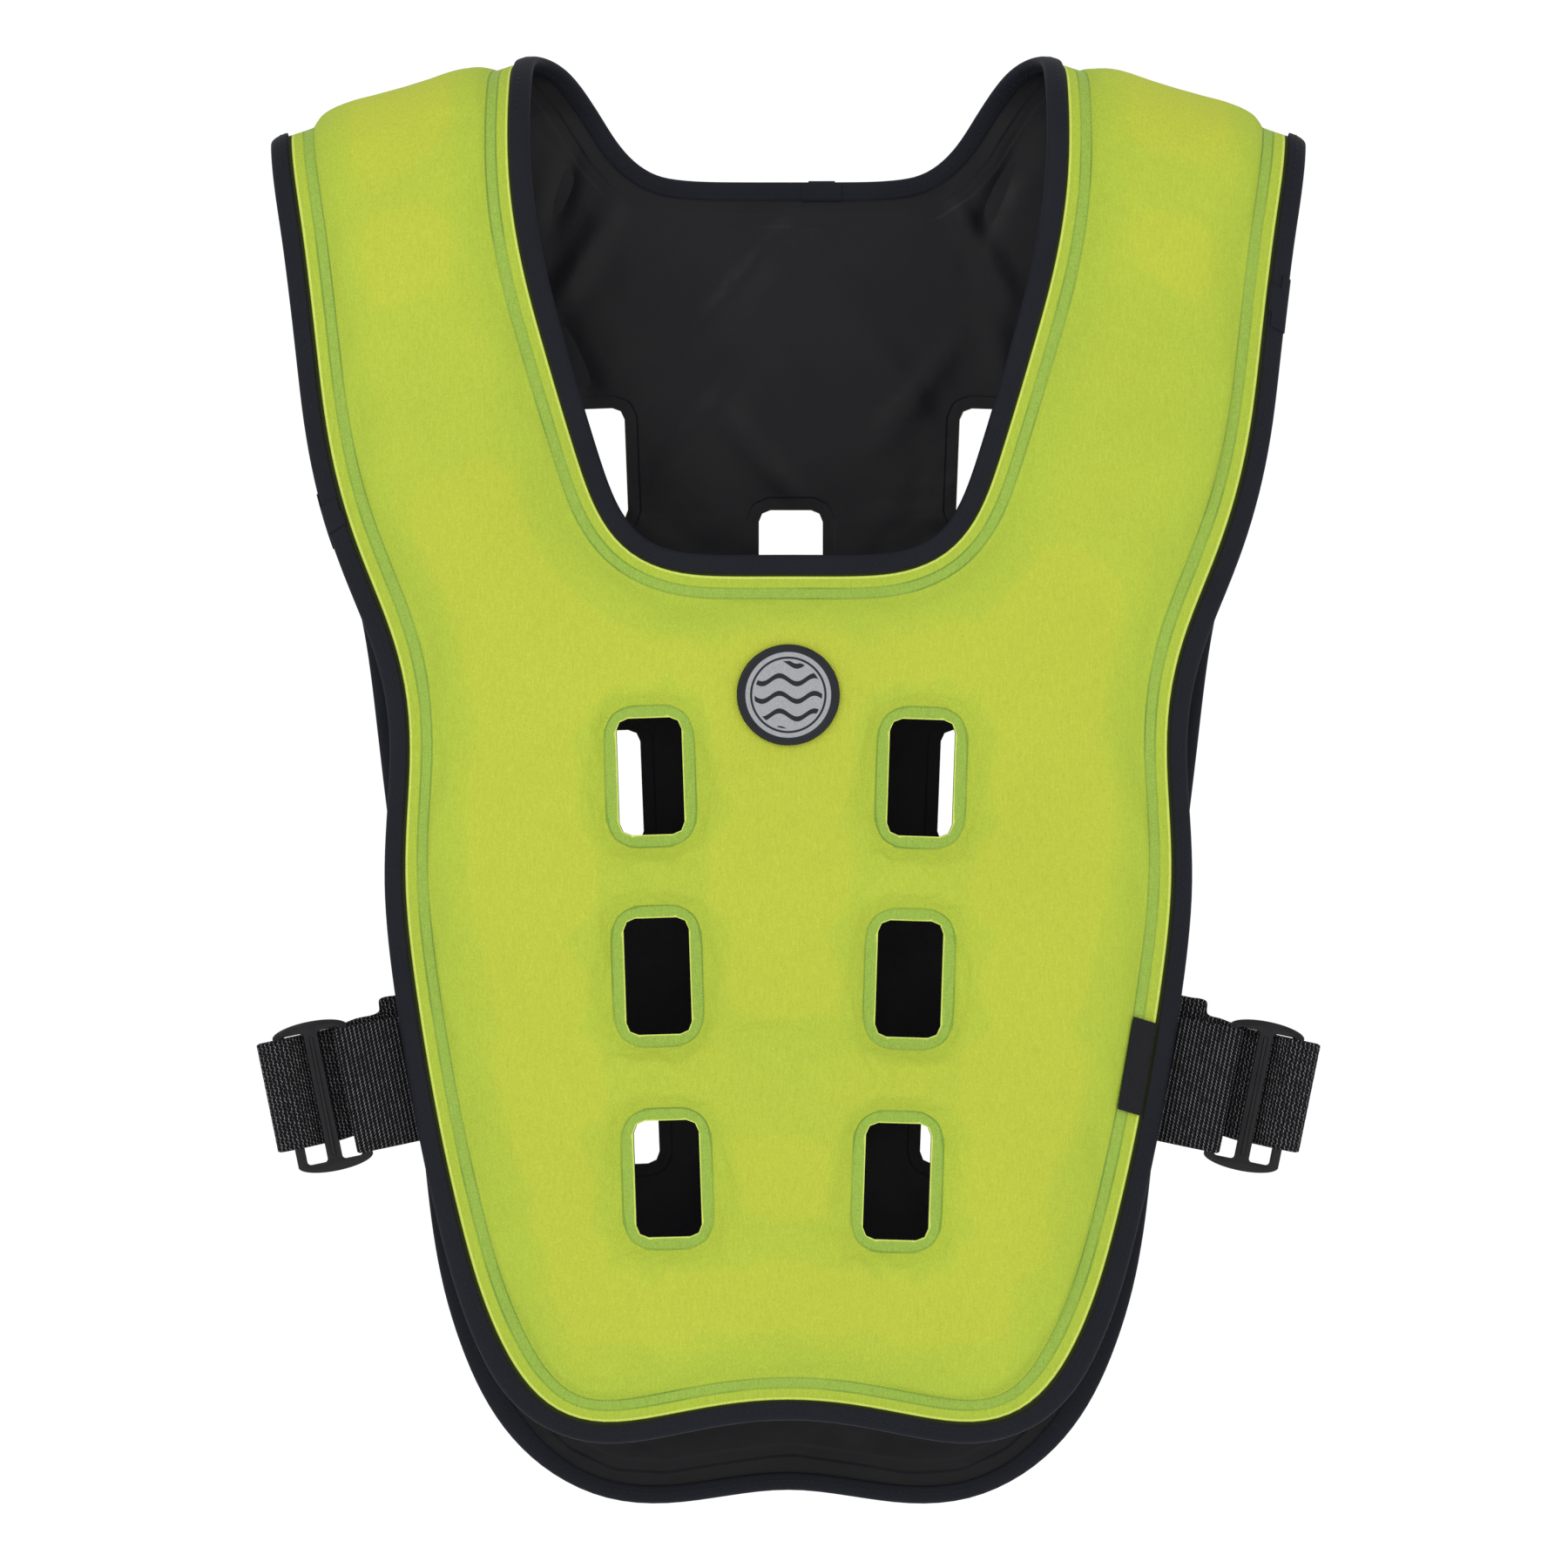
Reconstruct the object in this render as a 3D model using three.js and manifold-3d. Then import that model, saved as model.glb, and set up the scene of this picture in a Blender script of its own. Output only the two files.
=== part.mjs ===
import * as THREE from 'three';
import { mergeVertices } from 'three/addons/utils/BufferGeometryUtils.js';
import initManifold from 'manifold-3d';

// Pull-over cooling vest: one padded panel runs from the front hem over both shoulders
// to the back hem, with bound edges, cut-through vents and an adjustable strap each side.
// Millimetres, +Z up, the front faces -Y. Cloth positions are given as x across the body
// and "along": the length of cloth from the shoulder line, minus to the front, plus to the back.

const halfShoulder = 208;
const frontLength = 578;
const backLength = 608;
const neckHalfWidth = 101.5;
const neckFrontDrop = 220;
const neckBackDrop = 65;

// Neck end of the shoulder line above the rest point, and its fall to the armhole.
const shoulderRise = 24;
const shoulderFall = 34;
const archHeight = 36;
const archLength = 56;
const bowHalfWidth = 163;

// Layers, measured outwards from the body side of the lining.
const liningThick = 1.2;
const shellUnder = 1.5;
const marginTop = 3.0;
const weldTop = 2.6;
const slopeTop = 5.8;
const padTop = 8.0;
const padSwell = 1.5;
const swellReach = 45;

// Distances in from the bound edge.
const clothEdge = 1.7;
const bindingWide = 8;
const flatFrom = 9;
const weldFrom = 14;
const weldTo = 18;
const slopeMid = 22;
const padFrom = 29;

const bindingWall = 1.0;
const bindingGap = 0.6;
const bindingWeb = 1.1;

const ventWide = 26.2;
const ventTall = 46.6;
const ventCorner = 4.8;
const ventWeld = 4.9;
const ventPad = 11;

const strapWide = 44.6;
const loopWide = 50.8;
const strapTilt = 11.5;
const strapDownShare = 0.7187;
const loopThick = 1.5;
const strapThick = 1.8;
const strapRoot = 14;
const tailRise = 8.1;
const leftTailTuck = 3.8;
const rootClear = 1.2;
const layerClear = 0.45;
const wrapClear = 0.75;

const sliderTall = 61;
const sliderWide = 30.6;
const sliderThick = 3.2;
const sliderBevel = 0.8;
const barWide = 4;
const middleBarWide = 6;
const endBar = 4.3;
const slotTall = sliderTall - 2 * endBar;
const slotClear = 0.5;
const sliderOut = 35.4;
const sliderBehind = 2.95;
const ridgeRadius = 0.9;

const badgeRadius = 20.5;
const badgeThick = 1.9;
const badgeBelowPad = 7.4;
const labelWide = 9.2;
const labelTall = 39;
const labelThick = 0.8;
const labelDownShare = 0.683;

// Clearance that a label or badge keeps over the cloth below it.
const trimClear = 0.45;

// Outlines of the panel: length down the cloth as a share of the panel's length and
// half width as a share of the half shoulder.
const frontOutline = [
  { down: 0.980, half: 0.000 },
  { down: 0.983, half: 0.100 },
  { down: 0.990, half: 0.201 },
  { down: 0.998, half: 0.285 },
  { down: 1.001, half: 0.365 },
  { down: 0.996, half: 0.439 },
  { down: 0.982, half: 0.503 },
  { down: 0.963, half: 0.545 },
  { down: 0.921, half: 0.601 },
  { down: 0.881, half: 0.639 },
  { down: 0.842, half: 0.666 },
  { down: 0.764, half: 0.712 },
  { down: 0.669, half: 0.755 },
  { down: 0.593, half: 0.780 },
  { down: 0.557, half: 0.781 },
  { down: 0.521, half: 0.773 },
  { down: 0.486, half: 0.766 },
  { down: 0.449, half: 0.774 },
  { down: 0.409, half: 0.803 },
  { down: 0.367, half: 0.847 },
  { down: 0.326, half: 0.886 },
  { down: 0.286, half: 0.915 },
  { down: 0.247, half: 0.935 },
  { down: 0.171, half: 0.958 },
  { down: 0.114, half: 0.977 },
  { down: 0.052, half: 1.000 },
];

const backOutline = [
  { down: 0.000, half: 1.006 },
  { down: 0.045, half: 1.000 },
  { down: 0.104, half: 0.977 },
  { down: 0.196, half: 0.937 },
  { down: 0.271, half: 0.896 },
  { down: 0.328, half: 0.860 },
  { down: 0.384, half: 0.828 },
  { down: 0.457, half: 0.804 },
  { down: 0.573, half: 0.765 },
  { down: 0.694, half: 0.730 },
  { down: 0.803, half: 0.697 },
  { down: 0.841, half: 0.676 },
  { down: 0.879, half: 0.644 },
  { down: 0.919, half: 0.599 },
  { down: 0.962, half: 0.523 },
  { down: 0.983, half: 0.459 },
  { down: 0.996, half: 0.386 },
  { down: 1.002, half: 0.275 },
  { down: 0.998, half: 0.172 },
  { down: 0.989, half: 0.000 },
];

// The neck opening, as shares of its own half width and drops.
const neckFront = [
  { down: 1.002, half: 0.000 },
  { down: 1.002, half: 0.309 },
  { down: 0.999, half: 0.429 },
  { down: 0.983, half: 0.549 },
  { down: 0.954, half: 0.618 },
  { down: 0.929, half: 0.655 },
  { down: 0.881, half: 0.700 },
  { down: 0.786, half: 0.766 },
  { down: 0.691, half: 0.828 },
  { down: 0.596, half: 0.886 },
  { down: 0.500, half: 0.941 },
  { down: 0.405, half: 0.983 },
  { down: 0.292, half: 1.012 },
  { down: 0.158, half: 1.012 },
];

const neckBack = [
  { down: 0.000, half: 0.985 },
  { down: 0.128, half: 0.930 },
  { down: 0.275, half: 0.872 },
  { down: 0.436, half: 0.814 },
  { down: 0.624, half: 0.744 },
  { down: 0.791, half: 0.676 },
  { down: 0.955, half: 0.558 },
  { down: 0.995, half: 0.423 },
  { down: 1.003, half: 0.211 },
  { down: 1.003, half: 0.000 },
];

// How far each panel stands off the shoulder plane at its side edge and how much
// further in the middle, as shares of sideStandOff and middleBow, by share of length.
const sideStandOff = 30;
const middleBow = 20;

const frontForm = [
  { down: 0.00, side: 1.00, bow: 0.70 },
  { down: 0.24, side: 1.03, bow: 1.00 },
  { down: 0.52, side: 1.03, bow: 1.05 },
  { down: 0.78, side: 1.03, bow: 0.90 },
  { down: 1.00, side: 0.90, bow: 0.75 },
];

const backForm = [
  { down: 0.00, side: 0.97, bow: 0.50 },
  { down: 0.25, side: 1.00, bow: 0.80 },
  { down: 0.53, side: 0.97, bow: 0.70 },
  { down: 0.76, side: 1.00, bow: 0.75 },
  { down: 1.00, side: 1.10, bow: 0.60 },
];

// Soft dents (minus) and swells (plus) of the whole cloth: across and width as shares of
// the half shoulder, along and length as shares of the panel's length, depth of foldDepth.
const foldDepth = 2.4;

const folds = [
  { across: -0.298, along: -0.355, wide: 0.163, long: 0.121, out: -0.92 },
  { across: 0.337, along: -0.329, wide: 0.144, long: 0.131, out: -0.75 },
  { across: 0.000, along: -0.727, wide: 0.221, long: 0.138, out: 0.75 },
  { across: -0.423, along: -0.865, wide: 0.125, long: 0.104, out: -1.00 },
  { across: 0.404, along: -0.886, wide: 0.135, long: 0.097, out: -0.83 },
  { across: -0.264, along: 0.197, wide: 0.192, long: 0.072, out: -0.83 },
  { across: 0.231, along: 0.247, wide: 0.212, long: 0.086, out: 0.67 },
  { across: -0.337, along: 0.896, wide: 0.163, long: 0.099, out: 1.00 },
  { across: 0.144, along: 0.921, wide: 0.144, long: 0.099, out: -1.00 },
];

// Vents: centre across as a share of the half shoulder and lean from the upright in degrees.
// Front rows lie between the pad's edges at the neck and the hem, each after its own share
// of the length that the vents leave free there. Back rows lie at shares of the back length.
const frontRows = 3;

const frontVents = [
  { across: -0.264, row: 0, free: 0.3138, lean: 1.9 },
  { across: 0.254, row: 0, free: 0.3208, lean: -1.9 },
  { across: -0.250, row: 1, free: 0.4488, lean: 1.9 },
  { across: 0.231, row: 1, free: 0.4629, lean: -1.9 },
  { across: -0.231, row: 2, free: 0.5979, lean: 1.9 },
  { across: 0.208, row: 2, free: 0.6119, lean: -1.9 },
];

const backVents = [
  { across: -0.382, down: 0.299, lean: -2.2 },
  { across: 0.397, down: 0.299, lean: 2.2 },
  { across: -0.351, down: 0.516, lean: -2.2 },
  { across: 0.360, down: 0.516, lean: 2.2 },
  { across: -0.320, down: 0.732, lean: -2.2 },
  { across: 0.326, down: 0.732, lean: 2.2 },
  { across: 0.005, down: 0.367, lean: 0 },
  { across: 0.005, down: 0.584, lean: 0 },
  { across: 0.005, down: 0.799, lean: 0 },
];

// Path of the long strap through the slider, from its free tail to where it leaves for
// the back panel: out as a share of the pitch between bars, from the middle bar; aft as a
// share of the height at which the strap passes a bar; rise as a share of tailRise.
const threading = [
  { out: -3.15, aft: 1.56, rise: 1.00 },
  { out: -2.50, aft: 1.60, rise: 1.00 },
  { out: -1.96, aft: 1.62, rise: 0.97 },
  { out: -1.84, aft: 1.62, rise: 0.36 },
  { out: -1.40, aft: 1.62, rise: 0.26 },
  { out: -0.90, aft: 1.60, rise: 0.12 },
  { out: -0.50, aft: 1.34, rise: 0.04 },
  { out: -0.24, aft: 1.06, rise: 0.00 },
  { out: 0.00, aft: 0.97, rise: 0.00 },
  { out: 0.17, aft: 0.95, rise: 0.00 },
  { out: 0.34, aft: 0.72, rise: 0.00 },
  { out: 0.54, aft: 0.00, rise: 0.00 },
  { out: 0.75, aft: -0.75, rise: 0.00 },
  { out: 0.89, aft: -0.98, rise: 0.00 },
  { out: 1.06, aft: -1.06, rise: 0.00 },
  { out: 1.36, aft: -0.86, rise: 0.00 },
  { out: 1.57, aft: 0.00, rise: 0.00 },
  { out: 1.46, aft: 0.86, rise: 0.00 },
];

const lime = 0xc0cf4c;
const black = 0x25252a;
const navy = 0x24262e;
const moulded = 0x1b1c1f;
const silver = 0xb9bec4;

function valueAt(rows, column, down) {
  const last = rows.length - 1;
  let k = 0;
  while (k < last - 1 && down > rows[k + 1].down) {
    k += 1;
  }
  const span = rows[k + 1].down - rows[k].down;
  const share = THREE.MathUtils.smoothstep((down - rows[k].down) / span, 0, 1);
  return THREE.MathUtils.lerp(rows[k][column], rows[k + 1][column], share);
}

function shoulderLine(x) {
  const share = THREE.MathUtils.clamp((Math.abs(x) - neckHalfWidth) / (halfShoulder - neckHalfWidth), 0, 1.3);
  return shoulderRise - shoulderFall * (0.88 * share + 0.12 * share * share);
}

// Body side of the cloth at x across and "along".
function clothPoint(x, along) {
  const down = Math.abs(along);
  const panelLength = along < 0 ? frontLength : backLength;
  const form = along < 0 ? frontForm : backForm;
  const bow = middleBow * (1 - (x / bowHalfWidth) ** 2);
  const share = down / panelLength;
  let depth = sideStandOff * valueAt(form, 'side', share) + valueAt(form, 'bow', share) * bow;
  for (const fold of folds) {
    const across = (x / halfShoulder - fold.across) / fold.wide;
    const length = (along / panelLength - fold.along) / fold.long;
    depth += foldDepth * fold.out * Math.exp(-(across * across + length * length));
  }
  const turn = Math.min(down / archLength, 1) * Math.PI / 2;
  const y = Math.sign(along) * depth * Math.sin(turn);
  const fall = archHeight * (1 - Math.cos(turn)) + Math.max(down - archLength, 0);
  return new THREE.Vector3(x, y, shoulderLine(x) - fall);
}

function outward(x, along) {
  const step = 1.5;
  const acrossStep = clothPoint(x + step, along).sub(clothPoint(x - step, along));
  const alongStep = clothPoint(x, along + step).sub(clothPoint(x, along - step));
  return acrossStep.cross(alongStep).normalize();
}

function layerPoint(x, along, height) {
  return clothPoint(x, along).addScaledVector(outward(x, along), height);
}

// Outline of the whole panel or of the neck, sampled closer together over the shoulders.
function outlineLoop(front, back, half, frontDrop, backDrop, coarse, fine) {
  const right = [];
  for (const row of front) {
    right.push(new THREE.Vector3(row.half * half, -row.down * frontDrop, 0));
  }
  for (const row of back) {
    right.push(new THREE.Vector3(row.half * half, row.down * backDrop, 0));
  }
  const left = right.slice(1, -1).reverse().map((p) => new THREE.Vector3(-p.x, p.y, 0));
  const curve = new THREE.CatmullRomCurve3([...right, ...left], true, 'centripetal');
  curve.arcLengthDivisions = 1600;
  const dense = curve.getSpacedPoints(1600);
  const weights = [0];
  for (let i = 1; i < dense.length; i++) {
    const step = Math.abs(dense[i].y) < archLength + 14 ? fine : coarse;
    weights.push(weights[i - 1] + dense[i].distanceTo(dense[i - 1]) / step);
  }
  const total = weights[weights.length - 1];
  const count = 2 * Math.round(total / 2);
  const loop = [];
  let k = 0;
  for (let i = 0; i < count; i++) {
    while (weights[k + 1] <= (i * total) / count) {
      k += 1;
    }
    const before = dense[(k + dense.length - 8) % (dense.length - 1)];
    const after = dense[(k + 7) % (dense.length - 1)];
    const share = ((i * total) / count - weights[k]) / (weights[k + 1] - weights[k]);
    const at = dense[k].clone().lerp(dense[k + 1], share);
    const tangent = after.clone().sub(before).normalize();
    loop.push({ x: at.x, y: at.y, inX: -tangent.y, inY: tangent.x });
  }
  return loop;
}

function insetLoop(loop, inset) {
  return loop.map((p) => new THREE.Vector2(p.x + p.inX * inset, p.y + p.inY * inset));
}

function frontVentAlong(vent) {
  const block = ventTall + 2 * ventPad;
  const from = neckFrontDrop + padFrom;
  const free = frontOutline[0].down * frontLength - padFrom - from - frontRows * block;
  return -(from + (vent.row + 0.5) * block + vent.free * free);
}

const vents = [
  ...frontVents.map((vent) => ({ ...vent, along: frontVentAlong(vent) })),
  ...backVents.map((vent) => ({ ...vent, along: vent.down * backLength })),
];

// Rounded vent outline, grown outwards by "grow", running clockwise.
function ventLoop(vent, grow) {
  const halfWide = ventWide / 2;
  const halfTall = ventTall / 2;
  const lean = THREE.MathUtils.degToRad(vent.lean);
  const loop = [];
  for (const [signX, signY, start] of [[1, 1, 0], [-1, 1, 90], [-1, -1, 180], [1, -1, 270]]) {
    for (const turn of [0, 45, 90]) {
      const angle = THREE.MathUtils.degToRad(start + turn);
      const x = signX * (halfWide - ventCorner) + (ventCorner + grow) * Math.cos(angle);
      const y = signY * (halfTall - ventCorner) + (ventCorner + grow) * Math.sin(angle);
      const rotated = new THREE.Vector2(x, y).rotateAround(new THREE.Vector2(0, 0), lean);
      loop.push(rotated.add(new THREE.Vector2(vent.across * halfShoulder, vent.along)));
    }
  }
  return loop.reverse();
}

function segmentDistance(p, a, b) {
  const ab = b.clone().sub(a);
  const share = THREE.MathUtils.clamp(p.clone().sub(a).dot(ab) / ab.lengthSq(), 0, 1);
  return p.distanceTo(a.clone().addScaledVector(ab, share));
}

function ringDistance(p, rings) {
  let nearest = Infinity;
  for (const ring of rings) {
    for (let i = 0; i < ring.length; i++) {
      nearest = Math.min(nearest, segmentDistance(p, ring[i], ring[(i + 1) % ring.length]));
    }
  }
  return nearest;
}

function isInside(p, ring) {
  let inside = false;
  for (let i = 0, j = ring.length - 1; i < ring.length; j = i++) {
    const crosses = (ring[i].y > p.y) !== (ring[j].y > p.y);
    const reach = ring[i].x + ((p.y - ring[i].y) / (ring[j].y - ring[i].y)) * (ring[j].x - ring[i].x);
    if (crosses && p.x < reach) {
      inside = !inside;
    }
  }
  return inside;
}

// Points inside the region, in staggered rows that are closer over the shoulders.
function innerPoints(rings, spacing, away) {
  const points = [];
  const [contour, ...holes] = rings;
  let along = -frontLength;
  let row = 0;
  while (along < backLength) {
    const step = Math.abs(along) < archLength + 10 ? spacing * 0.36 : spacing;
    for (let x = -halfShoulder + (row % 2) * spacing * 0.5; x <= halfShoulder; x += spacing) {
      const p = new THREE.Vector2(x, along);
      const open = isInside(p, contour) && !holes.some((hole) => isInside(p, hole));
      if (open && ringDistance(p, rings) > away * Math.min(step / spacing + 0.3, 1)) {
        points.push(p);
      }
    }
    along += step;
    row += 1;
  }
  return points;
}

function area(a, b, c) {
  return (b.x - a.x) * (c.y - a.y) - (b.y - a.y) * (c.x - a.x);
}

function cornerAngle(at, a, b) {
  return a.clone().sub(at).angleTo(b.clone().sub(at));
}

// Triangles over a region with holes that pass through the inner points, evened out by
// swapping the shared edge of thin pairs.
function triangulate(rings, inner) {
  const points = [...rings.flat(), ...inner];
  const [contour, ...holes] = rings;
  const faces = THREE.ShapeUtils.triangulateShape(contour.slice(), holes.map((hole) => hole.slice()));
  for (const face of faces) {
    if (area(points[face[0]], points[face[1]], points[face[2]]) < 0) {
      face.reverse();
    }
  }
  for (let n = points.length - inner.length; n < points.length; n++) {
    const p = points[n];
    const k = faces.findIndex(([a, b, c]) => area(points[a], points[b], p) > 0
      && area(points[b], points[c], p) > 0 && area(points[c], points[a], p) > 0);
    if (k >= 0) {
      const [a, b, c] = faces[k];
      faces.splice(k, 1, [a, b, n], [b, c, n], [c, a, n]);
    }
  }
  for (let pass = 0; pass < 80; pass++) {
    const sides = new Map();
    const moved = new Set();
    faces.forEach((face, k) => {
      for (let e = 0; e < 3; e++) {
        const key = Math.min(face[e], face[(e + 1) % 3]) * 1e5 + Math.max(face[e], face[(e + 1) % 3]);
        const other = sides.get(key);
        if (other === undefined) {
          sides.set(key, [k, e]);
          continue;
        }
        const [m, f] = other;
        if (moved.has(k) || moved.has(m)) {
          continue;
        }
        const a = face[e];
        const b = face[(e + 1) % 3];
        const c = face[(e + 2) % 3];
        const d = faces[m][(f + 2) % 3];
        const sum = cornerAngle(points[c], points[a], points[b]) + cornerAngle(points[d], points[a], points[b]);
        if (sum > Math.PI + 1e-5) {
          faces[k] = [a, d, c];
          faces[m] = [d, b, c];
          moved.add(k);
          moved.add(m);
        }
      }
    });
    if (moved.size === 0) {
      break;
    }
  }
  return { points, faces };
}

// Collects vertices and triangles of one closed body.
function startBody() {
  return { positions: [], indices: [] };
}

function addRing(body, ring, height) {
  return ring.map((p) => {
    const at = layerPoint(p.x, p.y, typeof height === 'number' ? height : height(p));
    body.positions.push(at.x, at.y, at.z);
    return body.positions.length / 3 - 1;
  });
}

function addBand(body, first, second, flip) {
  for (let i = 0; i < first.length; i++) {
    const j = (i + 1) % first.length;
    if (flip) {
      body.indices.push(first[i], second[j], first[j], first[i], second[i], second[j]);
    } else {
      body.indices.push(first[i], first[j], second[j], first[i], second[j], second[i]);
    }
  }
}

function addRegion(body, rings, ringIndices, mesh, height, flip) {
  const numbers = ringIndices.flat();
  const inner = mesh.points.slice(numbers.length);
  numbers.push(...addRing(body, inner, height));
  for (const [a, b, c] of mesh.faces) {
    if (flip) {
      body.indices.push(numbers[a], numbers[c], numbers[b]);
    } else {
      body.indices.push(numbers[a], numbers[b], numbers[c]);
    }
  }
}

function finishBody(body) {
  const geometry = new THREE.BufferGeometry();
  geometry.setAttribute('position', new THREE.Float32BufferAttribute(body.positions, 3));
  geometry.setIndex(body.indices);
  geometry.computeVertexNormals();
  return geometry;
}

const edgeLoop = outlineLoop(frontOutline, backOutline, halfShoulder, frontLength, backLength, 25, 11);
const neckCounter = outlineLoop(neckFront, neckBack, neckHalfWidth, neckFrontDrop, neckBackDrop, 15, 11);
const neckLoop = neckCounter.map((p) => ({ x: p.x, y: p.y, inX: -p.inX, inY: -p.inY })).reverse();

const edgeRings = [insetLoop(edgeLoop, clothEdge), insetLoop(neckLoop, clothEdge)];
for (const vent of vents) {
  edgeRings.push(ventLoop(vent, 0));
}
const flatRings = [insetLoop(edgeLoop, flatFrom), insetLoop(neckLoop, flatFrom), ...edgeRings.slice(2)];
const flatMesh = triangulate(flatRings, innerPoints(flatRings, 42, 20));

// One plain face of the panel at an even height; gives back its edge rings.
function addFlatFace(body, height, flip) {
  const edges = edgeRings.map((ring) => addRing(body, ring, height));
  const inner = [addRing(body, flatRings[0], height), addRing(body, flatRings[1], height)];
  addBand(body, edges[0], inner[0], flip);
  addBand(body, edges[1], inner[1], flip);
  addRegion(body, flatRings, [...inner, ...edges.slice(2)], flatMesh, height, flip);
  return edges;
}

const padRings = [insetLoop(edgeLoop, padFrom), insetLoop(neckLoop, padFrom)];
for (const vent of vents) {
  padRings.push(ventLoop(vent, ventPad));
}

// Height of the full pad, swelling away from its welds.
function padHeight(p) {
  const reach = Math.min(ringDistance(p, padRings) / swellReach, 1);
  return padTop + padSwell * Math.sin(reach * Math.PI / 2);
}

const badgeMiddle = new THREE.Vector2(0, -(neckFrontDrop + padFrom + badgeBelowPad + badgeRadius));

function badgeCircle(radius, sides) {
  return Array.from({ length: sides }, (unused, k) => {
    const angle = (k / sides) * Math.PI * 2;
    return new THREE.Vector2(radius * Math.cos(angle), radius * Math.sin(angle)).add(badgeMiddle);
  });
}

// Lime outer cover with its fill: flat margin, weld line, slope and full pad, welded
// down again round every vent.
function outerShell() {
  const body = startBody();
  const padIndices = [];
  const topEdges = [];
  const steps = [
    { inset: clothEdge, height: marginTop },
    { inset: weldFrom, height: weldTop },
    { inset: weldTo, height: weldTop },
    { inset: slopeMid, height: slopeTop },
    { inset: padFrom, height: padTop },
  ];
  for (const loop of [edgeLoop, neckLoop]) {
    let previous = null;
    for (const step of steps) {
      const indices = addRing(body, insetLoop(loop, step.inset), step.height);
      if (previous) {
        addBand(body, previous, indices, false);
      } else {
        topEdges.push(indices);
      }
      previous = indices;
    }
    padIndices.push(previous);
  }
  for (const vent of vents) {
    const edge = addRing(body, ventLoop(vent, 0), weldTop);
    const weld = addRing(body, ventLoop(vent, ventWeld), weldTop);
    const pad = addRing(body, ventLoop(vent, ventPad), padTop);
    addBand(body, edge, weld, false);
    addBand(body, weld, pad, false);
    topEdges.push(edge);
    padIndices.push(pad);
  }
  const open = innerPoints(padRings, 38, 17).filter((p) => p.distanceTo(badgeMiddle) > badgeRadius * 1.4);
  const inner = [...open, badgeMiddle, ...badgeCircle(badgeRadius, 8)];
  addRegion(body, padRings, padIndices, triangulate(padRings, inner), padHeight, false);
  const underEdges = addFlatFace(body, shellUnder, true);
  underEdges.forEach((ring, k) => addBand(body, ring, topEdges[k], false));
  return finishBody(body);
}

function innerLining() {
  const body = startBody();
  const upper = addFlatFace(body, liningThick, false);
  const lower = addFlatFace(body, 0, true);
  lower.forEach((ring, k) => addBand(body, ring, upper[k], false));
  return finishBody(body);
}

// Folded tape round a cut edge: a web outside the edge and a leg on each face.
function binding(loop) {
  const body = startBody();
  const upper = marginTop + bindingGap;
  const profile = [
    { inset: 0, height: -bindingGap - 0.2 },
    { inset: 0, height: upper + 0.2 },
    { inset: bindingWide, height: upper + bindingWall },
    { inset: bindingWide, height: upper },
    { inset: bindingWeb, height: upper },
    { inset: bindingWeb, height: -bindingGap },
    { inset: bindingWide, height: -bindingGap },
    { inset: bindingWide, height: -bindingGap - bindingWall },
  ];
  const rings = profile.map((corner) => addRing(body, insetLoop(loop, corner.inset), corner.height));
  rings.forEach((ring, k) => addBand(body, ring, rings[(k + 1) % rings.length], false));
  return finishBody(body);
}

// Half width of a panel at a length of cloth down from the shoulder line.
function halfAt(outline, length, down) {
  const rows = outline.slice().sort((a, b) => a.down - b.down);
  let k = 0;
  while (k < rows.length - 2 && down > rows[k + 1].down * length) {
    k += 1;
  }
  const share = (down / length - rows[k].down) / (rows[k + 1].down - rows[k].down);
  return halfShoulder * THREE.MathUtils.lerp(rows[k].half, rows[k + 1].half, share);
}

function frontHalf(down) {
  return halfAt(frontOutline.filter((row) => row.half > 0.7), frontLength, down);
}

// Frame of a strap: its middle at the panel's edge, and its out, aft and up directions.
function strapFrame(side) {
  const tilt = THREE.MathUtils.degToRad(strapTilt);
  const down = strapDownShare * frontLength;
  const edgeX = side * frontHalf(down);
  const root = clothPoint(edgeX, -down);
  return {
    side,
    centre: new THREE.Vector3(edgeX, root.y + sliderBehind, root.z),
    out: new THREE.Vector3(side * Math.cos(tilt), 0, -Math.sin(tilt)),
    up: new THREE.Vector3(side * Math.sin(tilt), 0, Math.cos(tilt)),
    frontDepth: (inset) => clothPoint(edgeX - side * inset, -down).y - root.y - sliderBehind,
    backDepth: (inset) => clothPoint(edgeX - side * inset, down).y - root.y - sliderBehind,
  };
}

const barPitch = sliderWide / 2 - barWide / 2;
const innerBar = sliderOut - barPitch;
const bindingUnder = bindingGap + bindingWall;

// Doubled elastic: two layers sewn behind the front edge, folded round the inner bar.
function loopPath(frame) {
  const lift = sliderThick / 2 + wrapClear + loopThick / 2;
  const layer = loopThick + layerClear;
  const behind = bindingUnder + rootClear + loopThick / 2;
  const upper = [
    { out: -strapRoot, aft: frame.frontDepth(strapRoot) + behind },
    { out: 0, aft: frame.frontDepth(0) + behind },
    { out: innerBar * 0.4, aft: -lift * 0.45 },
    { out: innerBar - lift * 2, aft: -lift },
  ];
  const fold = [];
  for (const turn of [-90, -45, 0, 45, 90]) {
    const angle = THREE.MathUtils.degToRad(turn);
    fold.push({ out: innerBar + 0.1 * lift + lift * Math.cos(angle), aft: lift * Math.sin(angle) });
  }
  const lower = [
    { out: innerBar - lift * 2, aft: lift },
    { out: innerBar * 0.4, aft: lift * 0.95 },
    { out: 0, aft: frame.frontDepth(0) + behind + layer },
    { out: -strapRoot, aft: frame.frontDepth(strapRoot) + behind + layer },
  ];
  return [...upper, ...fold, ...lower];
}

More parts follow.
